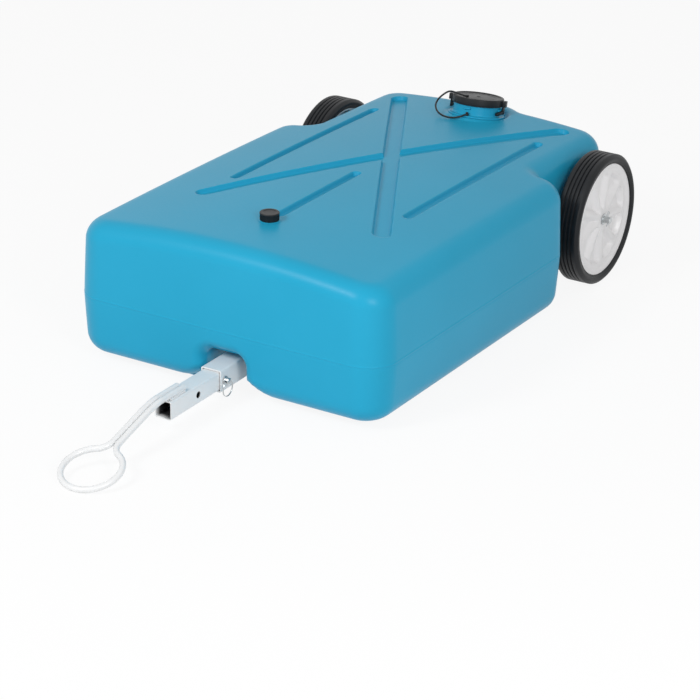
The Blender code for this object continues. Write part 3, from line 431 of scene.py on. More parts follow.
def repeatTree(name, around):
    # Copies of one shape, turned about an axis or set out at the corners of an oblong
    tree = bpy.data.node_groups.new(name, "GeometryNodeTree")
    ports = {"Shape": "NodeSocketObject", "Finish": "NodeSocketMaterial"}
    if around:
        ports.update({"Count": "NodeSocketInt", "Step": "NodeSocketFloat"})
    else:
        ports.update({"Width": "NodeSocketFloat", "Length": "NodeSocketFloat"})
    for label, kind in ports.items():
        tree.interface.new_socket(label, in_out="INPUT", socket_type=kind)
    tree.interface.new_socket("Geometry", in_out="OUTPUT", socket_type="NodeSocketGeometry")
    source = tree.nodes.new("NodeGroupInput")
    given = {label: Wire(tree, source.outputs[label]) for label in ports}
    shape = addNode(tree, "GeometryNodeObjectInfo", {}, {"Object": given["Shape"]}, "Geometry")
    spread = {"Instance": shape}
    if around:
        row = {"Count": given["Count"], "Offset": (0, 0, 0)}
        spread["Points"] = addNode(tree, "GeometryNodeMeshLine", {}, row)
        turn = addNode(tree, "GeometryNodeInputIndex", {}, {}) * given["Step"]
        spread["Rotation"] = addNode(tree, "ShaderNodeCombineXYZ", {}, {"Z": turn})
    else:
        oblong = {"Vertices X": 2, "Vertices Y": 2, "Size X": given["Width"], "Size Y": given["Length"]}
        spread["Points"] = addNode(tree, "GeometryNodeMeshGrid", {}, oblong)
    copies = addNode(tree, "GeometryNodeInstanceOnPoints", {}, spread)
    real = addNode(tree, "GeometryNodeRealizeInstances", {}, {"Geometry": copies})
    shadeDepth = addNode(tree, "GeometryNodeSetMaterial", {}, {"Geometry": real, "Material": given["Finish"]})
    plug(tree, shadeDepth, tree.nodes.new("NodeGroupOutput").inputs["Geometry"])
    return tree


turnTree, gridTree = repeatTree("turnedCopies", True), repeatTree("gridCopies", False)


def repeated(name, mesh, tree, slot, place, **values):
    shape = asObject(mesh)
    holder = asObject(bpy.data.meshes.new(name))
    modifier = holder.modifiers.new("copies", "NODES")
    modifier.node_group = tree
    values.update({"Shape": shape, "Finish": finishes[slot]})
    for socket in tree.interface.items_tree:
        if socket.in_out == "INPUT":
            modifier[socket.identifier] = values[socket.name]
    result = settle(holder)
    bpy.data.objects.remove(shape, do_unlink=True)
    result.transform(place)
    return result


# Tank body

tank = {"halfWidth": 0.318, "front": -0.583, "rear": 0.415, "frontCorner": 0.062, "rearCorner": 0.055,
        "roofEdge": 0.036, "floorEdge": 0.038, "draft": 0.0045, "seam": 0.1133, "seamRib": 0.0006,
        "seamHalf": 0.0014, "wall": 0.005, "floor": 0.0045, "floorFall": 0.014, "roof": 0.2778,
        "roofFall": 0.0221, "crownX": 0.231, "crownY": 0.0272, "shoulderY": 0.120, "shoulder": 0.050,
        "lean": math.radians(10), "wellHalf": 0.2535, "well": 0.012, "lobeReach": 0.026, "lobe": 0.105,
        "lobeBlend": 0.030, "tailStart": 0.235, "tailHeight": 0.098, "leastRound": 0.003,
        "aboveSeam": (0.1175, 0.1225, 0.130, 0.142)}
# How far the sides have leant in at a height over the floor
sideLean = ((tank["floorEdge"], tank["draft"]), (0.075, 0.0021), (tank["seam"], 0.0), (0.150, 0.0014),
            (0.240, tank["draft"]))
# Y starts where the two long channels cross, here and in every dictionary below
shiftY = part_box("tank_shell")[0].y - tank["front"]
# Each line of a channel is its two ends and its width
channels = {"depth": 0.008, "wall": 0.0040,
            "lines": [((-0.184, -0.354), (0.180, 0.339), 0.035),
                      ((0.184, -0.354), (-0.180, 0.339), 0.035),
                      ((-0.1812, -0.257), (-0.1812, 0.241), 0.020),
                      ((0.1812, -0.257), (0.1812, 0.241), 0.020),
                      ((0.0, -0.392), (0.0, -0.132), 0.020)]}
pocket = {"half": 0.043, "mouthRound": 0.022, "round": 0.004, "roof": 0.0731, "rise": 0.014, "mouth": 0.060,
          "flare": 0.0755, "flareTop": 0.040, "end": -0.319, "lip": 0.020, "away": 0.012, "lead": 0.03,
          "nearHalf": 0.12, "nearTop": 0.13}
filler = {"y": 0.3288, "z": 0.2635, "tilt": math.radians(10.5), "seat": 0.0565, "blend": 0.010,
          "hole": 0.0468}
vent = {"y": -0.4265, "z": 0.2822, "hole": 0.0143}
axle = {"y": 0.276, "z": 0.127, "tunnel": 0.011}
plate = {"width": 0.076, "length": 0.160, "thick": 0.005, "y": -0.433, "z": 0.0703, "boltX": 0.029,
         "pitch": 0.120, "hole": 0.0033, "insert": 0.0058, "insertDepth": 0.0123}
holeLength = 0.06  # of a drill that has to go right through a wall
# How finely the skin and the cavity are meshed: steps of a rounding, of the sides and along a channel, then
# lines beside a channel and a seat by their share of its slope, and the roof's grid
skinDetail = {"edge": 8, "roofEdge": 10, "side": 0.004, "channelStep": 0.012, "channelTurn": 14,
              "channelLines": (-0.45, 0.0, 0.22, 0.5, 0.78, 1.0, 1.5), "seatSides": 72,
              "seatLines": (0.0, 0.33, 0.66, 0.93), "grid": 0.010}
cavityDetail = {"edge": 4, "roofEdge": 4, "side": 0.012, "channelStep": 0.04, "channelTurn": 6,
                "channelLines": (0.0, 1.0), "seatSides": 36, "seatLines": (0.0, 0.9), "grid": 0.030}


def placed(x, y, z):
    return Matrix.Translation((x, y + shiftY, z))


def axleFrame(side, x=0.0):
    # Z runs outwards along the axle
    return placed(side * x, axle["y"], axle["z"]) @ Matrix.Rotation(side * quarter, 4, "Y")


fillerFrame = placed(0, filler["y"], filler["z"]) @ Matrix.Rotation(-filler["tilt"], 4, "X")
ventFrame = placed(0, vent["y"], vent["z"])
acrossX = Matrix.Rotation(quarter, 4, "Y")


def roofAt(x, y):
    return tank["roof"] - tank["roofFall"] * y - tank["crownX"] * x * x - tank["crownY"] * y * y


def floorAt(y):
    return tank["floor"] - tank["floorFall"] * y


def rearAt(height):
    # The tail sweeps up from the floor, and eases into the upright rear
    run = (tank["rear"] - tank["tailStart"]) / tank["tailHeight"]
    ease = 0.25 * tank["tailHeight"]
    past = height - (tank["tailHeight"] - ease)
    if past <= 0:
        return tank["tailStart"] + run * height
    if past >= 2 * ease:
        return tank["rear"]
    return tank["tailStart"] + run * (height - past * past / (4 * ease))


def halfOutline(inset, rear):
    # Half the plan, from the middle of the front round to the middle of the lobe
    front, back, side = tank["front"] + inset, rear - inset, tank["halfWidth"] - inset
    well, ledge = tank["wellHalf"] - inset, tank["shoulderY"] - inset
    corner, shoulder, tail = [max(tank[name] - inset, tank["leastRound"])
                              for name in ("frontCorner", "shoulder", "rearCorner")]
    hollow, lobe, blend = tank["well"] + inset, tank["lobe"] - inset, tank["lobeBlend"] + inset
    lobeY = back + tank["lobeReach"] - lobe
    blendX = math.sqrt((lobe + blend) ** 2 - (back + blend - lobeY) ** 2)
    turn = math.atan2(back + blend - lobeY, blendX)
    mouthEnd = (0.1, front)  # finer up to here, for the pocket's mouth
    run = [(0.0, front)] + between((0.0, front), mouthEnd, 40) + [mouthEnd]
    run += between(mouthEnd, (side - corner, front), 12)
    run += bend((side - corner, front + corner), corner, -quarter, 0, 16)
    run += between((side, front + corner), (side, ledge - shoulder), 34)
    run += bend((side - shoulder, ledge - shoulder), shoulder, 0, quarter - tank["lean"], 14)
    run += bend((well + hollow, ledge + hollow), hollow, -quarter - tank["lean"], -math.pi, 8)
    run += between((well, ledge + hollow), (well, back - tail), 16)
    run += bend((well - tail, back - tail), tail, 0, quarter, 14)
    run += between((well - tail, back), (blendX, back), 6)
    run += bend((blendX, back + blend), blend, -quarter, turn - math.pi, 8)
    run += bend((0.0, lobeY), lobe, turn, quarter, 16)[1:]
    run[-1] = (0.0, run[-1][1])
    return run


def insetAt(height):
    return float(np.interp(height, [spot[0] for spot in sideLean], [spot[1] for spot in sideLean]))


def channelDepth(x, y):
    deepest = 0.0
    for (ax, ay), (bx, by), width in channels["lines"]:
        dx, dy = bx - ax, by - ay
        t = clamp(((x - ax) * dx + (y - ay) * dy) / (dx * dx + dy * dy))
        away = math.hypot(x - ax - t * dx, y - ay - t * dy)
        deepest = max(deepest, (width / 2 - away) / channels["wall"])
    return channels["depth"] * easing(deepest)


def skinAt(x, y):
    # The filler's seat is a flat disc, tilted back, that melts into the roof
    seatZ = filler["z"] - math.tan(filler["tilt"]) * (y - filler["y"])
    away = math.hypot(x, (y - filler["y"]) / math.cos(filler["tilt"]))
    share = easing((away - filler["seat"]) / filler["blend"])
    return seatZ + (roofAt(x, y) - channelDepth(x, y) - seatZ) * share


def roofPatch(border, detail):
    # A triangulated roof inside the border, with lines along the lips and feet of the channels
    count = len(border)
    points = [Vector(spot) for spot in border]
    edges = [(k, (k + 1) % count) for k in range(count)]

    def chain(line):
        first = len(points)
        points.extend(Vector(p) for p in line)
        last = len(points)
        edges.extend((k, k + 1) for k in range(first, last - 1))
        edges.append((last - 1, first))

    for (ax, ay), (bx, by), width in channels["lines"]:
        angle = math.atan2(by - ay, bx - ax)
        steps = int(math.hypot(bx - ax, by - ay) / detail["channelStep"])
        for share in detail["channelLines"]:
            radius = width / 2 - share * channels["wall"]
            far = bend((bx, by), radius, angle - quarter, angle + quarter, detail["channelTurn"])
            near = bend((ax, ay), radius, angle + quarter, angle + 3 * quarter, detail["channelTurn"])
            chain(far + between(far[-1], near[0], steps) + near + between(near[-1], far[0], steps))
    stretch = math.cos(filler["tilt"])
    for share in detail["seatLines"]:
        radius = filler["seat"] + filler["blend"] * share
        circle = bend((0, filler["y"]), radius, 0, 2 * math.pi, detail["seatSides"])
        chain([(x, filler["y"] + (y - filler["y"]) * stretch) for x, y in circle[:-1]])
    outline = np.array(border)
    grid = detail["grid"]
    rowPitch = grid * 0.866  # for triangles with about equal sides
    for row, y in enumerate(np.arange(tank["front"], tank["rear"] + 0.05, rowPitch)):
        for x in np.arange(-tank["halfWidth"], tank["halfWidth"], grid):
            spot = (x + (row % 2) * grid / 2, float(y))
            if np.min(np.hypot(outline[:, 0] - spot[0], outline[:, 1] - spot[1])) > grid * 0.6:
                points.append(Vector(spot))
    made = delaunay_2d_cdt(points, edges, [list(range(count))], 1, 0.00005)
    return made[0], made[2]


def tankSkin(name, wall, detail):
    # The outer skin, or the cavity's where there is a wall
    levels = []
    for k in range(detail["edge"] + 1):
        angle = quarter * (1 - k / detail["edge"])
        levels.append((tank["floorEdge"] * (1 - math.sin(angle)),
                       tank["draft"] + tank["floorEdge"] * (1 - math.cos(angle))))
    seam, half, rib = tank["seam"], tank["seamHalf"], tank["seamRib"]
    rise = tank["floorEdge"] + skinDetail["side"]
    while rise < seam - 2 * half:
        levels.append((rise, insetAt(rise)))
        rise += detail["side"]
    if not wall:
        levels += [(seam - half, rib), (seam - half / 2, rib / 4), (seam, 0.0), (seam + half / 2, rib / 4),
                   (seam + half, rib)]
    levels += [(height, insetAt(height) + rib / 2) for height in tank["aboveSeam"]]

    def ring(height, inset, rear, onFloor):
        side = halfOutline(inset + wall, rear)
        off = max(height, wall)
        return [(x, y, floorAt(y) + off if onFloor else roofAt(x, y) - off)
                for x, y in side + [(-x, y) for x, y in reversed(side[1:-1])]]

    rings = [ring(height, inset, rearAt(height), True) for height, inset in levels]
    edge = []
    for k in range(detail["roofEdge"] + 1):
        angle = quarter * k / detail["roofEdge"]
        edge.append(ring(tank["roofEdge"] * (1 - math.sin(angle)),
                         tank["draft"] + tank["roofEdge"] * (1 - math.cos(angle)), tank["rear"], False))
    top = rings[-1]
    for share in (0.3, 0.65):
        rings.append([tuple(a + (b - a) * share for a, b in zip(p, q)) for p, q in zip(top, edge[0])])
    rings += edge
    count = len(top)
    points = [p for row in rings for p in row]
    faces = quads(len(rings), count)
    faces.append(tuple(reversed(range(count))))
    spots, patches = roofPatch([(x, y) for x, y, _ in rings[-1]], detail)
    start = len(points)
    points += [(spot.x, spot.y, skinAt(spot.x, spot.y) - wall) for spot in spots]
    faces += [tuple(start + i for i in patch) for patch in patches]
    points = np.array(points)
    if not wall:
        softenMouth(points)
    points[:, 1] += shiftY
    return meshFrom(name, points, faces)


def pocketRing(y, top, corner, extra=0.0):
    # A section of the receiver's pocket, from below the floor up one side and over
    half, lead, flareTop = pocket["half"] + extra, pocket["lead"], pocket["flareTop"]
    slope = (pocket["flare"] - pocket["half"]) / (flareTop - floorAt(tank["front"]))
    side = [(half + slope * (flareTop + lead), -lead), (half, flareTop)]
    side += bend((half - corner, top + extra - corner), corner, 0, quarter, 10)
    return [(x, y, z) for x, z in side + [(-x, z) for x, z in reversed(side)]]


def softenMouth(points):
    # Rounds the skin into the pocket's mouth, by the distance of each point from the mouth's outline
    top = pocket["roof"] + pocket["rise"]
    line = np.array([(x, z) for x, _, z in pocketRing(0.0, top, pocket["mouthRound"])])
    near = ((points[:, 1] < tank["front"] + pocket["lead"]) & (abs(points[:, 0]) < pocket["nearHalf"])
            & (points[:, 2] < pocket["nearTop"]))
    spots = points[near][:, (0, 2)]
    away = np.full(len(spots), np.inf)
    inside = np.zeros(len(spots), bool)
    for a, b in zip(line, np.roll(line, -1, axis=0)):
        along = b - a
        if abs(a[1] - b[1]) > 1e-9 or a[1] > 0:
            t = np.clip(((spots - a) @ along) / (along @ along), 0, 1)
            away = np.minimum(away, np.linalg.norm(spots - a - t[:, None] * along, axis=1))
        if a[1] != b[1]:
            crosses = (a[1] > spots[:, 1]) != (b[1] > spots[:, 1])
            inside ^= crosses & (spots[:, 0] < a[0] + (spots[:, 1] - a[1]) * along[0] / along[1])
    lip = pocket["lip"]
    depth = lip - np.clip(away, 0, lip)
    points[near, 1] += np.where(inside, lip, lip - np.sqrt(lip ** 2 - depth ** 2))


def pocketCutter(extra):
    rows = []
    for k in range(9):
        y = tank["front"] - pocket["lead"] + (pocket["mouth"] + pocket["lead"]) * k / 8
        past = 1 - max(0.0, (y - tank["front"]) / pocket["mouth"])
        corner = pocket["round"] + (pocket["mouthRound"] - pocket["round"]) * easing(past)
        rows.append(pocketRing(y + shiftY, pocket["roof"] + pocket["rise"] * past, corner, extra))
    rows.append(pocketRing(pocket["end"] + extra + shiftY, pocket["roof"], pocket["round"], extra))
    width, total = len(rows[0]), len(rows[0]) * len(rows)
    faces = quads(len(rows), width) + [tuple(range(width)), tuple(reversed(range(total - width, total)))]
    return meshFrom("pocketCutter", [p for row in rows for p in row], faces)


def boltSpots(z):
    return [placed(x, plate["y"] + y, z) for x in (-plate["boltX"], plate["boltX"])
            for y in (-plate["pitch"] / 2, plate["pitch"] / 2)]


def makeTank():
    wall, through, spots = tank["wall"], 2 * tank["halfWidth"], boltSpots(pocket["roof"])
    insert, deep = plate["insert"], plate["insertDepth"]
    holes = [drill(filler["hole"], holeLength, 72, fillerFrame),
             drill(vent["hole"], holeLength, 40, ventFrame),
             drill(axle["tunnel"], through, 48, axleFrame(1))]
    holes += [drill(insert, 2 * deep, 24, spot) for spot in spots]
    # The cavity keeps away from the pocket, the tunnel and the inserts
    keepOut = [pocketCutter(pocket["away"]), drill(axle["tunnel"] + wall, through, 32, axleFrame(1))]
    keepOut += [drill(insert + wall, 2 * (deep + wall), 24, spot) for spot in spots]
    cavity = cutBy(tankSkin("cavity", wall, cavityDetail), keepOut)
    return cutBy(tankSkin("tankBody", 0.0, skinDetail), [pocketCutter(0.0), cavity, *holes])


makePiece("tankBody", makeTank(), "tank", "tank_blue", "tank_shell", angle=60)
print("tank body")


# Wheels

wheel = {"radius": 0.127, "x": 0.292, "grooves": 4, "grooveDepth": 0.0028, "grooveHalf": 0.0019,
         "grooveFoot": 0.0007, "flat": 0.0200, "sides": 120,
         "wall": [(0.109, 0.0225, 0.001), (0.1110, 0.0246, 0.0008), (0.1118, 0.0240, 0.0005),
                  (0.1150, 0.0258, 0.002), (0.1205, 0.027, 0.005), (0.127, 0.0215, 0.0035)]}
hub = {"rim": 0.1087, "half": 0.022, "rimWall": 0.0035, "web": 0.005, "boss": 0.0135, "bossTop": 0.0195,
       "bossRun": 0.02, "bossRoot": (0.0200, 0.009), "bossTip": 0.0188, "bossEnd": -0.0255, "bore": 0.00643,
       "spokes": 9, "phase": math.radians(5), "ridge": 0.0180, "ridgeHalf": 0.0014, "slope": 0.0165,
       "scoop": 0.0105, "scoopStart": 0.014, "startRun": 0.014, "scoopEnd": 0.090, "endRun": 0.008,
       "steepness": 1.25, "brim": 0.0034, "brimStart": 0.0965, "brimRun": 0.0075, "radialSteps": 40,
       "spokeSteps": 22, "leftTurn": math.radians(14)}


def tyreProfile():
    flat, outer, foot = wheel["flat"], wheel["radius"], wheel["radius"] - wheel["grooveDepth"]
    corners = list(wheel["wall"])
    pitch = 2 * flat / (wheel["grooves"] + 1)
    for k in range(wheel["grooves"]):
        middle = flat - pitch * (k + 1)
        corners += [(radius, middle + off, 0.0005)
                    for radius, off in ((outer, wheel["grooveHalf"]), (foot, wheel["grooveFoot"]),
                                        (foot, -wheel["grooveFoot"]), (outer, -wheel["grooveHalf"]))]
    return soften(corners + [(r, -z, rounding) for r, z, rounding in reversed(wheel["wall"])], steps=3)


def hubFace(radius, turn):
    # Height of the wheel's outer face: nine straight ridges with a scoop between each pair
    pitch = 2 * math.pi / hub["spokes"]
    off = (turn - hub["phase"] + pitch / 2) % pitch - pitch / 2
    across = clamp((radius * abs(off) - hub["ridgeHalf"]) / hub["slope"])
    along = clamp((hub["scoopEnd"] - radius) / hub["endRun"])
    along *= clamp((radius - hub["scoopStart"]) / hub["startRun"])
    share = max(0.0, 1 - math.hypot(1 - across, 1 - along))
    dish = hub["bossTop"] + (hub["ridge"] - hub["bossTop"]) * easing((radius - hub["boss"]) / hub["bossRun"])
    dish += hub["brim"] * easing((radius - hub["brimStart"]) / hub["brimRun"])
    return dish - hub["scoop"] * easing(share * hub["steepness"])


def makeHub(side):
    place = axleFrame(side, wheel["x"])
    if side < 0:
        place = place @ Matrix.Rotation(hub["leftTurn"], 4, "Z")
    inner, half, bore, end = hub["rim"] - hub["rimWall"], hub["half"], hub["bore"], hub["bossEnd"]
    first, last = hub["boss"] + 0.0006, inner + 0.0002
    count = hub["radialSteps"]
    radii = [first + (last - first) * k / count for k in range(count + 1)]
    rim = soften([(inner, half - 0.0004, 0), (inner + 0.0008, half, 0.0006), (hub["rim"], half, 0.0010),
                  (hub["rim"], -half, 0.0010), (inner, -half, 0.0010), (inner, 0.0, 0)], closed=False)
    boss = soften([(*hub["bossRoot"], 0), (hub["bossTip"], end, 0.001), (bore, end, 0.0006),
                   (bore, hub["bossTop"], 0.0006), (hub["boss"], hub["bossTop"], 0.0008)], closed=False)
    points, sides = [], hub["spokes"] * hub["spokeSteps"]
    for k in range(sides):
        turn = 2 * math.pi * k / sides
        back = [(r, hubFace(r, turn) - hub["web"]) for r in reversed(radii[4:])]
        face = [(r, hubFace(r, turn)) for r in radii]
        section = rim + back + boss + face
        points += [place @ polar(turn, r, z) for r, z in section]
    return meshFrom("hub", points, quads(sides, len(points) // sides, True))


for label, side in (("left", -1), ("right", 1)):
    name, body = label.title(), "wheel_" + label
    tyre = revolve("tyre", tyreProfile(), wheel["sides"], axleFrame(side, wheel["x"]))
    makePiece("tyre" + name, tyre, body, "tyre_rubber", "tyre_" + label, angle=50)
    makePiece("wheelHub" + name, makeHub(side), body, "hub_white", "wheel_hub_" + label, angle=50)
print("wheels")


# Axle and its fittings

fitting = {"axle": 0.00635, "end": 0.327, "bore": 0.00643, "bushFace": 0.2538, "bushFlange": 0.016,
           "bushThick": 0.0025, "bush": 0.0104, "bushLength": 0.030, "spacer": (0.2566, 0.2639, 0.009),
           "inner": (0.2642, 0.2662, 0.013), "outer": (0.3118, 0.3138, 0.011), "cotterX": 0.321,
           "cotter": 0.0014, "loop": 0.0042}


def makeCotter(side):
    # A split pin: the eye above the axle, and two legs through it that are splayed below
    bar, loop, wire = fitting["axle"], fitting["loop"], fitting["cotter"] * 0.62
    top = bar + 0.0008
    eye = top + loop + fitting["cotter"]
    legs = []
    for hand in (-1, 1):
        route = [(loop * math.sin(a), eye + loop * math.cos(a)) for a in (0.0, 0.5, 1.0, 1.5, 2.0, 2.5)]
        route += [(wire, top + 0.0004), (wire, 0.0), (wire, -top)]
        route += [(0.0022, -bar - 0.0030), (0.0050, -bar - 0.0048)]
        spots = [Vector((side * fitting["cotterX"], axle["y"] + shiftY + hand * y, axle["z"] + z))
                 for y, z in route]
        legs.append(rod("cotterLeg", smoothPath(spots, 5), wire, 3))
    return gathered("cotter", legs)


def makeAxle():
    end, radius = fitting["end"], fitting["axle"]
    profile = soften([(0, end, 0), (radius, end, 0.0010), (radius, -end, 0.0010), (0, -end, 0)], closed=False)
    return revolve("axle", profile, 48, axleFrame(1), False)


def makeBush(side):
    face, flange, bush, bore = fitting["bushFace"], fitting["bushFlange"], fitting["bush"], fitting["bore"]
    top, end = face + fitting["bushThick"], face - fitting["bushLength"]
    profile = soften([(flange, top, 0.0006), (flange, face, 0.0003), (bush, face, 0), (bush, end, 0.0006),
                      (bore, end, 0.0002), (bore, top, 0.0004)], steps=3)
    return revolve("bush", profile, 48, axleFrame(side))


makePiece("axleBar", makeAxle(), "tank", "zinc_plate", "axle")
for label, side in (("left", -1), ("right", 1)):
    name = label.title()
    makePiece("axleBush" + name, makeBush(side), "tank", "natural_nylon", "axle_bush_" + label)
    for kind, node in (("spacer", "axle_spacer_"), ("inner", "inner_washer_"), ("outer", "outer_washer_")):
        low, high, outer = fitting[kind]
        ring = ringMesh(kind, (fitting["bore"], outer), (low, high), (0.0003, 0.0003), 48, axleFrame(side))
        makePiece(kind + "Ring" + name, ring, "tank", "zinc_plate", node + label)
    makePiece("cotterPin" + name, makeCotter(side), "tank", "zinc_plate", "cotter_pin_" + label)
print("axle")


# Tow gear

tow = {"z": 0.047, "receiver": 0.041, "receiverWall": 0.0025, "receiverFront": -0.611,
       "receiverLength": 0.270, "draw": 0.034, "drawWall": 0.0022, "drawFront": -0.757, "drawLength": 0.330,
       "corner": 0.0035, "edge": 0.0005, "pinY": -0.599, "pinHole": 0.0052, "spareY": -0.675,
       "spareHole": 0.0062, "shadeDepth": 0.014, "rod": 0.0055, "rodRear": -0.705, "rodBend": -0.787,
       "bendR": 0.022, "loop": 0.0516, "reach": 0.1814, "throat": 0.030, "bead": 0.0021, "beadStep": 0.0018,
       "gap": 0.0003, "groundGap": 0.0002}


def squareOutline(half, radius):
    points = []
    for k in range(4):
        centre = ((half - radius) * (1 if k in (0, 3) else -1), (half - radius) * (1 if k in (0, 1) else -1))
        points += bend(centre, radius, quarter * k, quarter * (k + 1), 6)
    return points


def squareTube(name, size, wall, front, length, holes):
    edge, corner, inCorner = tow["edge"], tow["corner"], tow["corner"] - wall * 0.8
    outer, inner, back = size / 2, size / 2 - wall, front + length
    # Sections round the wall, as (y, half width, corner): back along the outside and home along the inside
    rows = [(front + edge, outer, corner), (back - edge, outer, corner), (back, outer - edge, corner - edge),
            (back, inner + edge, inCorner + edge), (back - edge, inner, inCorner)]
    # These inside rows carry the painted shade's fade from white to dark
    rows += [(front + tow["shadeDepth"] * share, inner, inCorner) for share in (1.0, 0.75, 0.5, 0.3, 0.15)]
    rows += [(front + edge, inner, inCorner), (front, inner + edge, inCorner + edge),
             (front, outer - edge, corner - edge)]
    points = []
    for y, half, radius in rows:
        points += [(x, y + shiftY, tow["z"] + z) for x, z in squareOutline(half, radius)]
    faces = quads(len(rows), len(points) // len(rows), True)
    cutters = [drill(hole, 0.08, 32, placed(0, y, tow["z"]) @ acrossX) for y, hole in holes]
    mesh = cutBy(meshFrom(name, points, faces), cutters)
    # Painted shade inside the tube's front end: the mask runs from 0 at the mouth to 1 deeper in, so the
    # white fades to dark
    bare = mesh.attributes.new("bare", "FLOAT", "POINT")
    for spot, vertex in zip(bare.data, mesh.vertices):
        away = max(abs(vertex.co.x), abs(vertex.co.z - tow["z"]))
        spot.value = easing((vertex.co.y - front - shiftY) / tow["shadeDepth"]) if away < inner + 0.0001 else 0.0
    return mesh


def loopRoute():
    # Half of the bent bar in its own plane, as (aside, ahead of the bend), mirrored for the other half
    offset, throat, reach = tow["rod"] + tow["gap"], tow["throat"], tow["reach"]
    throatV = math.sqrt((tow["loop"] + throat) ** 2 - (offset + throat) ** 2)
    swing, start = math.atan2(throatV, offset + throat), reach - throatV
    half = [(offset, tow["bendR"] + (start - tow["bendR"]) * k / 6) for k in range(6)]
    half += bend((offset + throat, start), throat, math.pi, math.pi - swing, 14)
    half += bend((0.0, reach), tow["loop"], math.atan2(-throatV, offset + throat), quarter, 34)[1:]
    half[-1] = (0.0, half[-1][1])
    # The plane drops from the tube's top until the loop's far end is just above the ground
    rodZ = tow["z"] + tow["draw"] / 2 + tow["rod"] + tow["gap"]
    drop = math.asin((rodZ - tow["rod"] - tow["groundGap"]) / (reach + tow["loop"]))
    bendY, rear = tow["rodBend"], tow["rodRear"]

    def sloped(u, v):
        return Vector((u, bendY - v * math.cos(drop), rodZ - v * math.sin(drop)))

    flat = [Vector((offset, rear + (bendY + tow["bendR"] * 1.4 - rear) * k / 4, rodZ)) for k in range(5)]
    knee = smoothPath([flat[-2], flat[-1], Vector((offset, bendY + tow["bendR"] * 0.45, rodZ - 0.0004)),
                       sloped(offset, half[0][1])], 6)[7:-1]
    right = flat + knee + [sloped(u, v) for u, v in half]
    left = [Vector((-p.x, p.y, p.z)) for p in reversed(right[:-1])]
    return [p + Vector((0, shiftY, 0)) for p in right + left]


def beadSwell(k, count):
    # Ripples along the weld, and tapers at its two ends
    return (0.90 + 0.10 * math.cos(k * quarter)) * min(1.0, 0.35 + min(k, count - 1 - k) * 0.2)


def weldBeads():
    top, rear = tow["z"] + tow["draw"] / 2, tow["rodRear"]
    beads = []
    for hand in (-1, 1):
        x = 2 * tow["rod"] + tow["gap"] - 0.0006
        route = [(x, tow["drawFront"] + 0.006 + tow["beadStep"] * k, 0.0012) for k in range(25)]
        route += [(x - 0.0014, rear + 0.0006, 0.0014), (x - 0.0040, rear + 0.0016, 0.0014),
                  (x - 0.0080, rear + 0.0014, 0.0014)]
        spots = [Vector((hand * across, y + shiftY, top + z)) for across, y, z in route]
        beads.append(rod("bead", smoothPath(spots, 4), tow["bead"], 4, beadSwell))
    return gathered("beads", beads)


receiver = squareTube("receiver", tow["receiver"], tow["receiverWall"], tow["receiverFront"],
                      tow["receiverLength"], [(tow["pinY"], tow["pinHole"])])
draw = squareTube("draw", tow["draw"], tow["drawWall"], tow["drawFront"], tow["drawLength"],
                  [(tow["pinY"], tow["pinHole"]), (tow["spareY"], tow["spareHole"])])
makePiece("receiverTube", receiver, "tank", "white_powder_coat", "receiver_tube")
makePiece("drawTube", draw, "tank", "white_powder_coat", "draw_tube")
towRod = rod("loop", loopRoute(), tow["rod"], 8)
makePiece("towLoop", towRod, "tank", "white_powder_coat", "tow_loop", angle=60)
makePiece("weldBeads", weldBeads(), "tank", "white_powder_coat", angle=60)


# Plate under the tank, with its bolts and washers

bolt = {"head": 0.0045, "headR": 0.006, "edge": 0.0004, "shank": 0.003, "start": 0.0040, "end": 0.0185}
washer = {"outer": 0.007, "thick": 0.0012}


def makePlate():
    size = Matrix.Diagonal((plate["width"] / 2, plate["length"] / 2, plate["thick"] / 2, 1))
    build = bmesh.new()
    bmesh.ops.create_cube(build, size=2.0, matrix=placed(0, plate["y"], plate["z"]) @ size)
    mesh = bpy.data.meshes.new("plate")
    build.to_mesh(mesh)
    build.free()
    holes = [drill(plate["hole"], 0.03, 32, spot) for spot in boltSpots(plate["z"])]
    return cutBy(bevelled(mesh, 0.0008), holes)


def hexBolt():
    radius, high, edge, shank = bolt["headR"], bolt["head"], bolt["edge"], bolt["shank"]
    head = revolve("head", [(0, 0), (radius - edge, 0), (radius, edge), (radius, high - edge),
                            (radius - edge, high), (0, high)], 6, Matrix(), False)
    profile = soften([(0, bolt["start"], 0), (shank, bolt["start"], 0), (shank, bolt["end"], 0.0006),
                      (0, bolt["end"], 0)], closed=False)
    return gathered("bolt", [head, revolve("shank", profile, 24, Matrix(), False)])


def onPlate(name, mesh, node, angle):
    # Four copies at the corners of the bolts' oblong, level with the first one's underside
    level = placed(0, plate["y"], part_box(node + "1")[0].z)
    copies = repeated(name, mesh, gridTree, "zinc_plate", level, Width=2 * plate["boltX"],
                      Length=plate["pitch"])
    makePiece(name, copies, "tank", "zinc_plate", *[node + str(k) for k in range(1, 5)], angle=angle)


plainWasher = ringMesh("washer", (plate["hole"], washer["outer"]), (0, washer["thick"]), (0.0002, 0.0003), 32,
                       Matrix())
makePiece("mountingPlate", makePlate(), "tank", "white_powder_coat", "mounting_plate")
onPlate("plateBolts", hexBolt(), "plate_bolt_", 30)
onPlate("plateWashers", plainWasher, "plate_washer_", 40)


# Hitch pin and its ring

pin = {"radius": 0.0048, "head": 0.010, "headR": 0.0075, "headThick": 0.0022, "neckR": 0.0058, "tail": 0.008,
       "point": 0.0020, "eye": 0.0024, "ringR": 0.0145, "wire": 0.0006, "sag": 0.0005, "ringX": 0.0268}


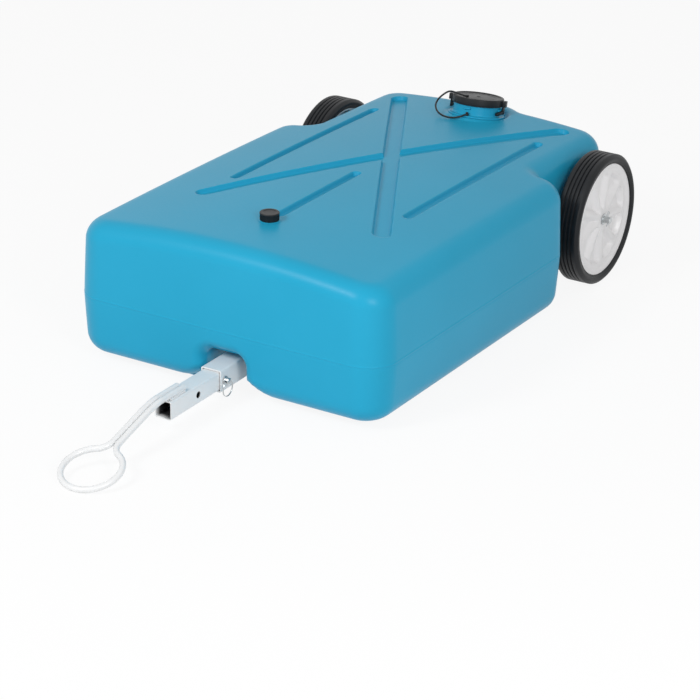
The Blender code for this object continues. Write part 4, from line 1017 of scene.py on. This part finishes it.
def makePin():
    start = tow["receiver"] / 2 + tow["gap"]
    low = -tow["receiver"] / 2 - pin["tail"] - start
    radius, neckR, headR, thick = pin["radius"], pin["neckR"], pin["headR"], pin["headThick"]
    profile = soften([(0, pin["head"], 0), (neckR, pin["head"], 0.0012), (neckR, thick, 0.0006),
                      (headR, thick, 0.0006), (headR, 0, 0.0005), (radius, 0, 0.0003),
                      (radius, low + pin["point"], 0.0008), (radius - 0.0015, low, 0.0004), (0, low, 0)],
                     closed=False)
    body = revolve("pin", profile, 40, placed(start, tow["pinY"], tow["z"]) @ acrossX, False)
    alongY = Matrix.Rotation(quarter, 4, "X")
    return cutBy(body, [drill(pin["eye"], 0.04, 24, placed(pin["ringX"], tow["pinY"], tow["z"]) @ alongY)])


def makePinRing():
    # A split ring: one wire wound twice round, its two turns side by side
    centre = Vector((pin["ringX"], tow["pinY"] + shiftY, tow["z"] - pin["ringR"] + pin["sag"]))
    route = []
    for k in range(121):
        turn = 4 * math.pi * k / 120 + 2.2
        across = pin["wire"] * (2 * easing((k - 50) / 20) - 1)
        route.append(centre + Vector((across, pin["ringR"] * math.cos(turn), pin["ringR"] * math.sin(turn))))
    return rod("ring", route, pin["wire"], 4)


makePiece("hitchPin", makePin(), "hitch_pin", "zinc_plate", "hitch_pin")
makePiece("pinRing", makePinRing(), "pin_ring", "zinc_plate", "pin_ring", angle=60)
print("tow gear")


# Filler

neck = {"radius": 0.0465, "bore": 0.0390, "height": 0.0290, "flange": 0.0555, "flangeThick": 0.0030,
        "spigot": 0.014, "lugs": 4, "lugTurn": math.radians(-87), "lugArc": math.radians(16),
        "lugDepth": 0.0040, "lugRoot": 0.002, "lugHeight": 0.0036, "lugZ": 0.0150,
        "ramp": 0.050 / (2 * math.pi), "gap": 0.0003}
cap = {"radius": 0.0505, "skirt": 0.0133, "skirtGap": 0.0012, "top": 0.0030, "rim": 0.0016,
       "rimWidth": 0.0050, "pip": 0.0008, "groove": (0.0330, 0.0350), "grooveDepth": 0.0004, "band": 0.0030,
       "armTurn": math.radians(12), "armWidth": 0.013, "armThick": 0.0035, "armGap": 0.0008, "ear": 0.0035,
       "claw": math.radians(32), "clawHeight": 0.0052, "gasket": 0.0030}
gasketZ = neck["height"] + neck["gap"]
capTop = gasketZ + cap["gasket"] + neck["gap"] + cap["top"]


def polarBlock(inner, outer, start, end, low, high, slope=0.0, steps=10):
    # A block bent round Z that climbs by its slope
    points = []
    for k in range(steps + 1):
        turn = start + (end - start) * k / steps
        rise = slope * (turn - (start + end) / 2)
        points += [polar(turn, radius, z + rise) for radius, z in ((inner, low), (outer, low), (outer, high),
                                                                   (inner, high))]
    faces = quads(steps + 1, 4) + [(3, 2, 1, 0), tuple(4 * steps + i for i in range(4))]
    return meshFrom("block", points, faces)


def makeNeck():
    radius, flange, thick, bore = neck["radius"], neck["flange"], neck["flangeThick"], neck["bore"]
    spigot, high, lugZ = -neck["spigot"], neck["height"], neck["lugZ"]
    profile = soften([(radius, high, 0.0008), (radius, thick, 0.0035), (flange, thick, 0.0018),
                      (flange, neck["gap"], 0.0004), (radius, neck["gap"], 0), (radius, spigot, 0.0005),
                      (bore, spigot, 0.0005), (bore, high, 0.0008)])
    lug = bevelled(polarBlock(radius - neck["lugRoot"], radius + neck["lugDepth"],
                              neck["lugTurn"] - neck["lugArc"] / 2, neck["lugTurn"] + neck["lugArc"] / 2,
                              lugZ, lugZ + neck["lugHeight"], neck["ramp"]), 0.0015, 4)
    step = 2 * math.pi / neck["lugs"]
    lugs = repeated("lugs", lug, turnTree, "tank_blue", fillerFrame, Count=neck["lugs"], Step=step)
    return cutBy(revolve("neckBody", profile, 96, fillerFrame), [lugs], "UNION")


def capProfile():
    # From the pip in the middle over a groove and the raised rim, down the skirt and back inside
    radius, skirt, step = cap["radius"], neck["radius"] + cap["skirtGap"], 0.0004
    pip, rimTop, deep = capTop + cap["pip"], capTop + cap["rim"], capTop - cap["grooveDepth"]
    under, bottom = capTop - cap["top"], capTop - cap["skirt"]
    (grooveIn, grooveOut), rimIn, band = cap["groove"], radius - cap["rimWidth"], bottom + cap["band"]
    return soften([(0, pip, 0), (0.0035, pip, 0.0006), (0.0042, capTop, 0.0006),
                   (grooveIn, capTop, 0.0004), (grooveIn + step, deep, 0.0003),
                   (grooveOut - step, deep, 0.0003), (grooveOut, capTop, 0.0004),
                   (rimIn - 0.0012, capTop, 0.0006), (rimIn, rimTop, 0.0006),
                   (radius - 0.0012, rimTop, 0.0010), (radius, capTop + step, 0.0008),
                   (radius, band, 0.0004), (radius - step, band - step, 0.0003),
                   (radius - step, bottom, 0.0008), (skirt, bottom, 0.0005),
                   (skirt, under, 0.0004), (0, under, 0)], closed=False)


def makeCap():
    # Two arms, each with an ear above it and a claw that reaches in under a lug
    bottom, clawTop = capTop - cap["skirt"], neck["lugZ"] - neck["gap"]
    clawLow = clawTop - cap["clawHeight"]
    armIn = neck["radius"] + neck["lugDepth"] + cap["armGap"]
    armOut = armIn + cap["armThick"]
    ear = cap["armWidth"] / armOut / 2
    arm = ear * 0.9
    parts = []
    for turn in (0.0, math.pi):
        middle = turn + cap["armTurn"]
        heel = middle + ear * 0.8
        rise = neck["ramp"] * (heel - cap["claw"] / 2 - (turn + neck["lugTurn"] + quarter))
        blocks = [(polarBlock(cap["radius"] - 0.002, armOut + cap["ear"], middle - ear, middle + ear,
                              bottom + 0.0006, capTop - 0.0006), 0.0012),
                  (polarBlock(armIn, armOut, middle - arm, middle + arm, clawLow - 0.001, bottom + 0.003),
                   0.0007),
                  (polarBlock(neck["radius"] + 0.0009, armOut - 0.0006, heel - cap["claw"], heel,
                              clawLow + rise, clawTop + rise, neck["ramp"]), 0.0007)]
        for block, rounding in blocks:
            mesh = bevelled(block, rounding, 3)
            mesh.transform(fillerFrame)
            parts.append(mesh)
    return cutBy(revolve("capBody", capProfile(), 120, fillerFrame, False), parts, "UNION")


def gasketRing(bore, outer, low, thick, place, sides):
    return ringMesh("seal", (bore, outer), (low, low + thick), (0.0007, 0.0007), sides, place)


fillGasket = gasketRing(neck["bore"] + 0.001, neck["radius"] - 0.0005, gasketZ, cap["gasket"],
                        fillerFrame, 96)
makePiece("fillNeck", makeNeck(), "tank", "tank_blue", "fill_neck", angle=50)
makePiece("fillGasket", fillGasket, "fill_gasket", "seal_rubber", "fill_cap_gasket")
makePiece("fillCap", makeCap(), "fill_cap", "black_plastic", "fill_cap")


# Strap, from a stud in the neck's flange to a knob on the cap

strap = {"radius": 0.0018, "anchorTurn": -84, "anchorR": 0.052, "knobR": 0.0034, "eyeR": (0.0019, 0.0040),
         "eyeHalf": 0.0012, "eyeZ": 0.0023, "ride": 0.88,
         # The free run, as (degrees round the neck, radius, height over the seat)
         "run": [(-84, 0.0520, 0.0056), (-86.5, 0.0570, 0.0050), (-91, 0.0630, 0.0020),
                 (-98, 0.0700, -0.0015), (-108, 0.0765, -0.0030), (-119, 0.0815, -0.0015),
                 (-130, 0.0840, 0.0035), (-140, 0.0835, 0.0115), (-148, 0.0790, 0.0205),
                 (-153, 0.0715, 0.0290), (-154, 0.0620, 0.0370)]}


def strapRoute():
    lie = capTop + cap["rim"] + strap["radius"] + neck["gap"]
    onCap = [(-150, 0.0540, lie + 0.0006), (-140, 0.0450, lie), (-122, 0.0370, lie - cap["rim"] * 0.8),
             (-104, 0.0335, lie - cap["rim"])]
    return [fillerFrame @ polar(math.radians(turn), radius, z) for turn, radius, z in strap["run"] + onCap]


def makeStrap(route, studPlace):
    # The cord, the eye round the stud and the knob, all in one piece
    profile = soften([(0, 0.0047, 0), (0.0022, 0.0045, 0.0010), (strap["knobR"], 0.0030, 0.0012),
                      (0.0026, 0.0008, 0.0004), (0.0026, 0, 0.0003), (0, 0, 0)], closed=False)
    knobPlace = (Matrix.Translation(route[-1]) @ fillerFrame.to_3x3().to_4x4()
                 @ Matrix.Translation((0, 0, -strap["radius"])))
    half = strap["eyeHalf"]
    eye = ringMesh("eye", strap["eyeR"], (-half, half), (0.0003, 0.0008), 32,
                   studPlace @ Matrix.Translation((0, 0, strap["eyeZ"])))
    return gathered("strap", [rod("strap", route, strap["radius"], 6), eye,
                              revolve("knob", profile, 32, knobPlace, False)])


def makeStud(place):
    profile = soften([(0, 0.0072, 0), (0.0020, 0.0068, 0.0008), (0.0030, 0.0048, 0.0010),
                      (0.0018, 0.0030, 0.0004), (0.0018, 0.0016, 0.0003), (0.0030, 0.0012, 0.0004),
                      (0.0030, 0, 0.0003), (0, 0, 0)], closed=False)
    return revolve("stud", profile, 32, place, False)


strapPoints = smoothPath(strapRoute(), 8)
studPlace = fillerFrame @ Matrix.Translation(polar(math.radians(strap["anchorTurn"]), strap["anchorR"],
                                                   neck["flangeThick"] + neck["gap"]))
# The gasket rises with the cap. The strap's span from the tank to short of the knob is passed as bends, but
# makePiece only bakes the strap in place and does not bend it
rideEnd = strapPoints[0].lerp(strapPoints[-1], strap["ride"])
makePiece("capStrap", makeStrap(strapPoints, studPlace), "tank", "black_plastic", "cap_strap", angle=60,
          bends=("fill_gasket", strapPoints[0], rideEnd))
makePiece("strapStud", makeStud(studPlace), "tank", "black_plastic", "strap_anchor")
print("filler")


# Vent

ventCap = {"radius": 0.0168, "height": 0.0143, "lip": 0.0009, "lipHeight": 0.0035, "bore": 0.0126,
           "dish": 0.0128, "dishDepth": 0.0008, "ribs": 48, "rib": 0.00055, "washer": 0.0015, "gap": 0.0003}
ventNeck = {"radius": 0.012, "bore": 0.0080, "height": 0.0125, "flange": 0.0205, "flangeThick": 0.0012,
            "flangeEdge": 0.0005, "spigot": 0.014, "spigotDepth": 0.010, "thread": 0.0007,
            "threadHalf": 0.0004, "pitch": 0.0022, "runOut": 0.0016}


def makeVentNeck():
    crest, bore, flange = ventNeck["radius"], ventNeck["bore"], ventNeck["flange"]
    root, half, gap = crest - ventNeck["thread"], ventNeck["threadHalf"], ventCap["gap"]
    thick, end = ventNeck["flangeThick"], -ventNeck["spigotDepth"]
    corners = [(root, ventNeck["height"], 0.0004)]
    z = ventNeck["height"] - ventNeck["runOut"]
    while z > thick + ventNeck["runOut"]:
        corners += [(root, z + half, 0.0002), (crest, z, 0.0002), (root, z - half, 0.0002)]
        z -= ventNeck["pitch"]
    corners += [(root, thick, 0.0006), (ventCap["radius"], thick, 0.0010),
                (flange, gap + ventNeck["flangeEdge"], 0.0004), (flange, gap, 0.0002),
                (ventNeck["spigot"], gap, 0), (ventNeck["spigot"], end, 0.0004), (bore, end, 0.0004),
                (bore, ventNeck["height"], 0.0005)]
    return revolve("ventNeck", soften(corners, steps=3), 64, ventFrame)


def makeVentCap():
    radius, bore, dish, rib = ventCap["radius"], ventCap["bore"], ventCap["dish"], ventCap["rib"]
    bottom = ventNeck["flangeThick"] + ventCap["gap"]
    top = bottom + ventCap["height"]
    under = ventNeck["height"] + 2 * ventCap["gap"] + ventCap["washer"]
    lip, lipEnd, floor = radius + ventCap["lip"], top - ventCap["lipHeight"], top - ventCap["dishDepth"]
    profile = soften([(0, floor, 0), (dish - 0.0010, floor, 0.0006), (dish, top, 0.0005),
                      (lip - 0.0008, top, 0.0008), (lip, top - 0.0012, 0.0008),
                      (lip, lipEnd + 0.0006, 0.0005), (radius, lipEnd, 0.0003), (radius, bottom, 0.0005),
                      (bore, bottom, 0.0004), (bore, under, 0.0004), (0, under, 0)], closed=False)
    low, high = bottom + 0.0004, lipEnd + 0.0003
    shape = revolve("rib", [(0, high), (rib, high - 0.0003), (rib, low + 0.0003), (0, low)], 6,
                    Matrix.Translation((radius - 0.0001, 0, 0)), False)
    ribs = repeated("ribs", shape, turnTree, "black_plastic", ventFrame, Count=ventCap["ribs"],
                    Step=2 * math.pi / ventCap["ribs"])
    return cutBy(revolve("ventCapBody", profile, 96, ventFrame, False), [ribs], "UNION")


ventSeal = gasketRing(ventNeck["bore"] + 0.0008, ventNeck["radius"], ventNeck["height"] + ventCap["gap"],
                      ventCap["washer"], ventFrame, 48)
makePiece("ventNeck", makeVentNeck(), "tank", "tank_blue", "vent_neck", angle=50)
makePiece("ventWasher", ventSeal, "vent_washer", "seal_rubber", "vent_washer")
makePiece("ventCap", makeVentCap(), "vent_cap", "black_plastic", "vent_cap")
print("vent")


# Floor and light

studio = {"world": 0.42, "floor": 12.0, "white": 0.90, "aim": (0, 0, 0.1),
          "lamps": {"key": {"at": (-0.9, -2.7, 2.4), "size": 0.9, "power": 52.0},
                    "side": {"at": (2.2, -1.7, 1.5), "size": 0.8, "power": 30.0}}}


def seenStraight(tree):
    # 1 where the eye, a reflection or a view through glass meets it, 0 where it only lights things
    rays = [addNode(tree, "ShaderNodeLightPath", {}, {}, name)
            for name in ("Is Camera Ray", "Is Glossy Ray", "Is Transmission Ray")]
    return rays[0].most(rays[1]).most(rays[2])


def makeFloor():
    ground = Finish("ground", Roughness=0.8, Specular_IOR_Level=0.1)
    shade = ground.colours(rgb(0.88, 0.88, 0.88), rgb(0.92, 0.92, 0.92), ground.noise(3.0))
    ground.wear(shade, 0.8, ground.noise(60.0), 0.02, 0.0002)
    glow = ground.node("ShaderNodeEmission", {}, {"Color": rgb(1, 1, 1), "Strength": 1.0})
    lit = Wire(ground.tree, ground.shader.outputs[0])
    share = seenStraight(ground.tree) * studio["white"]
    both = ground.node("ShaderNodeMixShader", {}, {0: share, 1: lit, 2: glow})
    plug(ground.tree, both, ground.tree.nodes["Material Output"].inputs["Surface"])
    half = studio["floor"]
    mesh = bpy.data.meshes.new("floor")
    corners = [(-half, -half, 0), (half, -half, 0), (half, half, 0), (-half, half, 0)]
    mesh.from_pydata(corners, [], [(0, 1, 2, 3)])
    mesh.materials.append(ground.material)
    asObject(mesh)


def makeLight():
    for name, lamp in studio["lamps"].items():
        data = bpy.data.lights.new(name, "AREA")
        data.shape = "SQUARE"
        data.size = lamp["size"]
        data.energy = lamp["power"]
        item = asObject(data)
        item.location = lamp["at"]
        item.rotation_euler = (Vector(studio["aim"]) - Vector(lamp["at"])).to_track_quat("-Z", "Y").to_euler()
    world = bpy.data.worlds.new("world")
    bpy.context.scene.world = world
    world.use_nodes = True
    shade = world.node_tree.nodes["Background"]
    shade.inputs["Color"].default_value = rgb(1, 1, 1)
    strength = studio["world"] + (1 - studio["world"]) * seenStraight(world.node_tree)
    plug(world.node_tree, strength, shade.inputs["Strength"])


makeFloor()
makeLight()
print("stage")
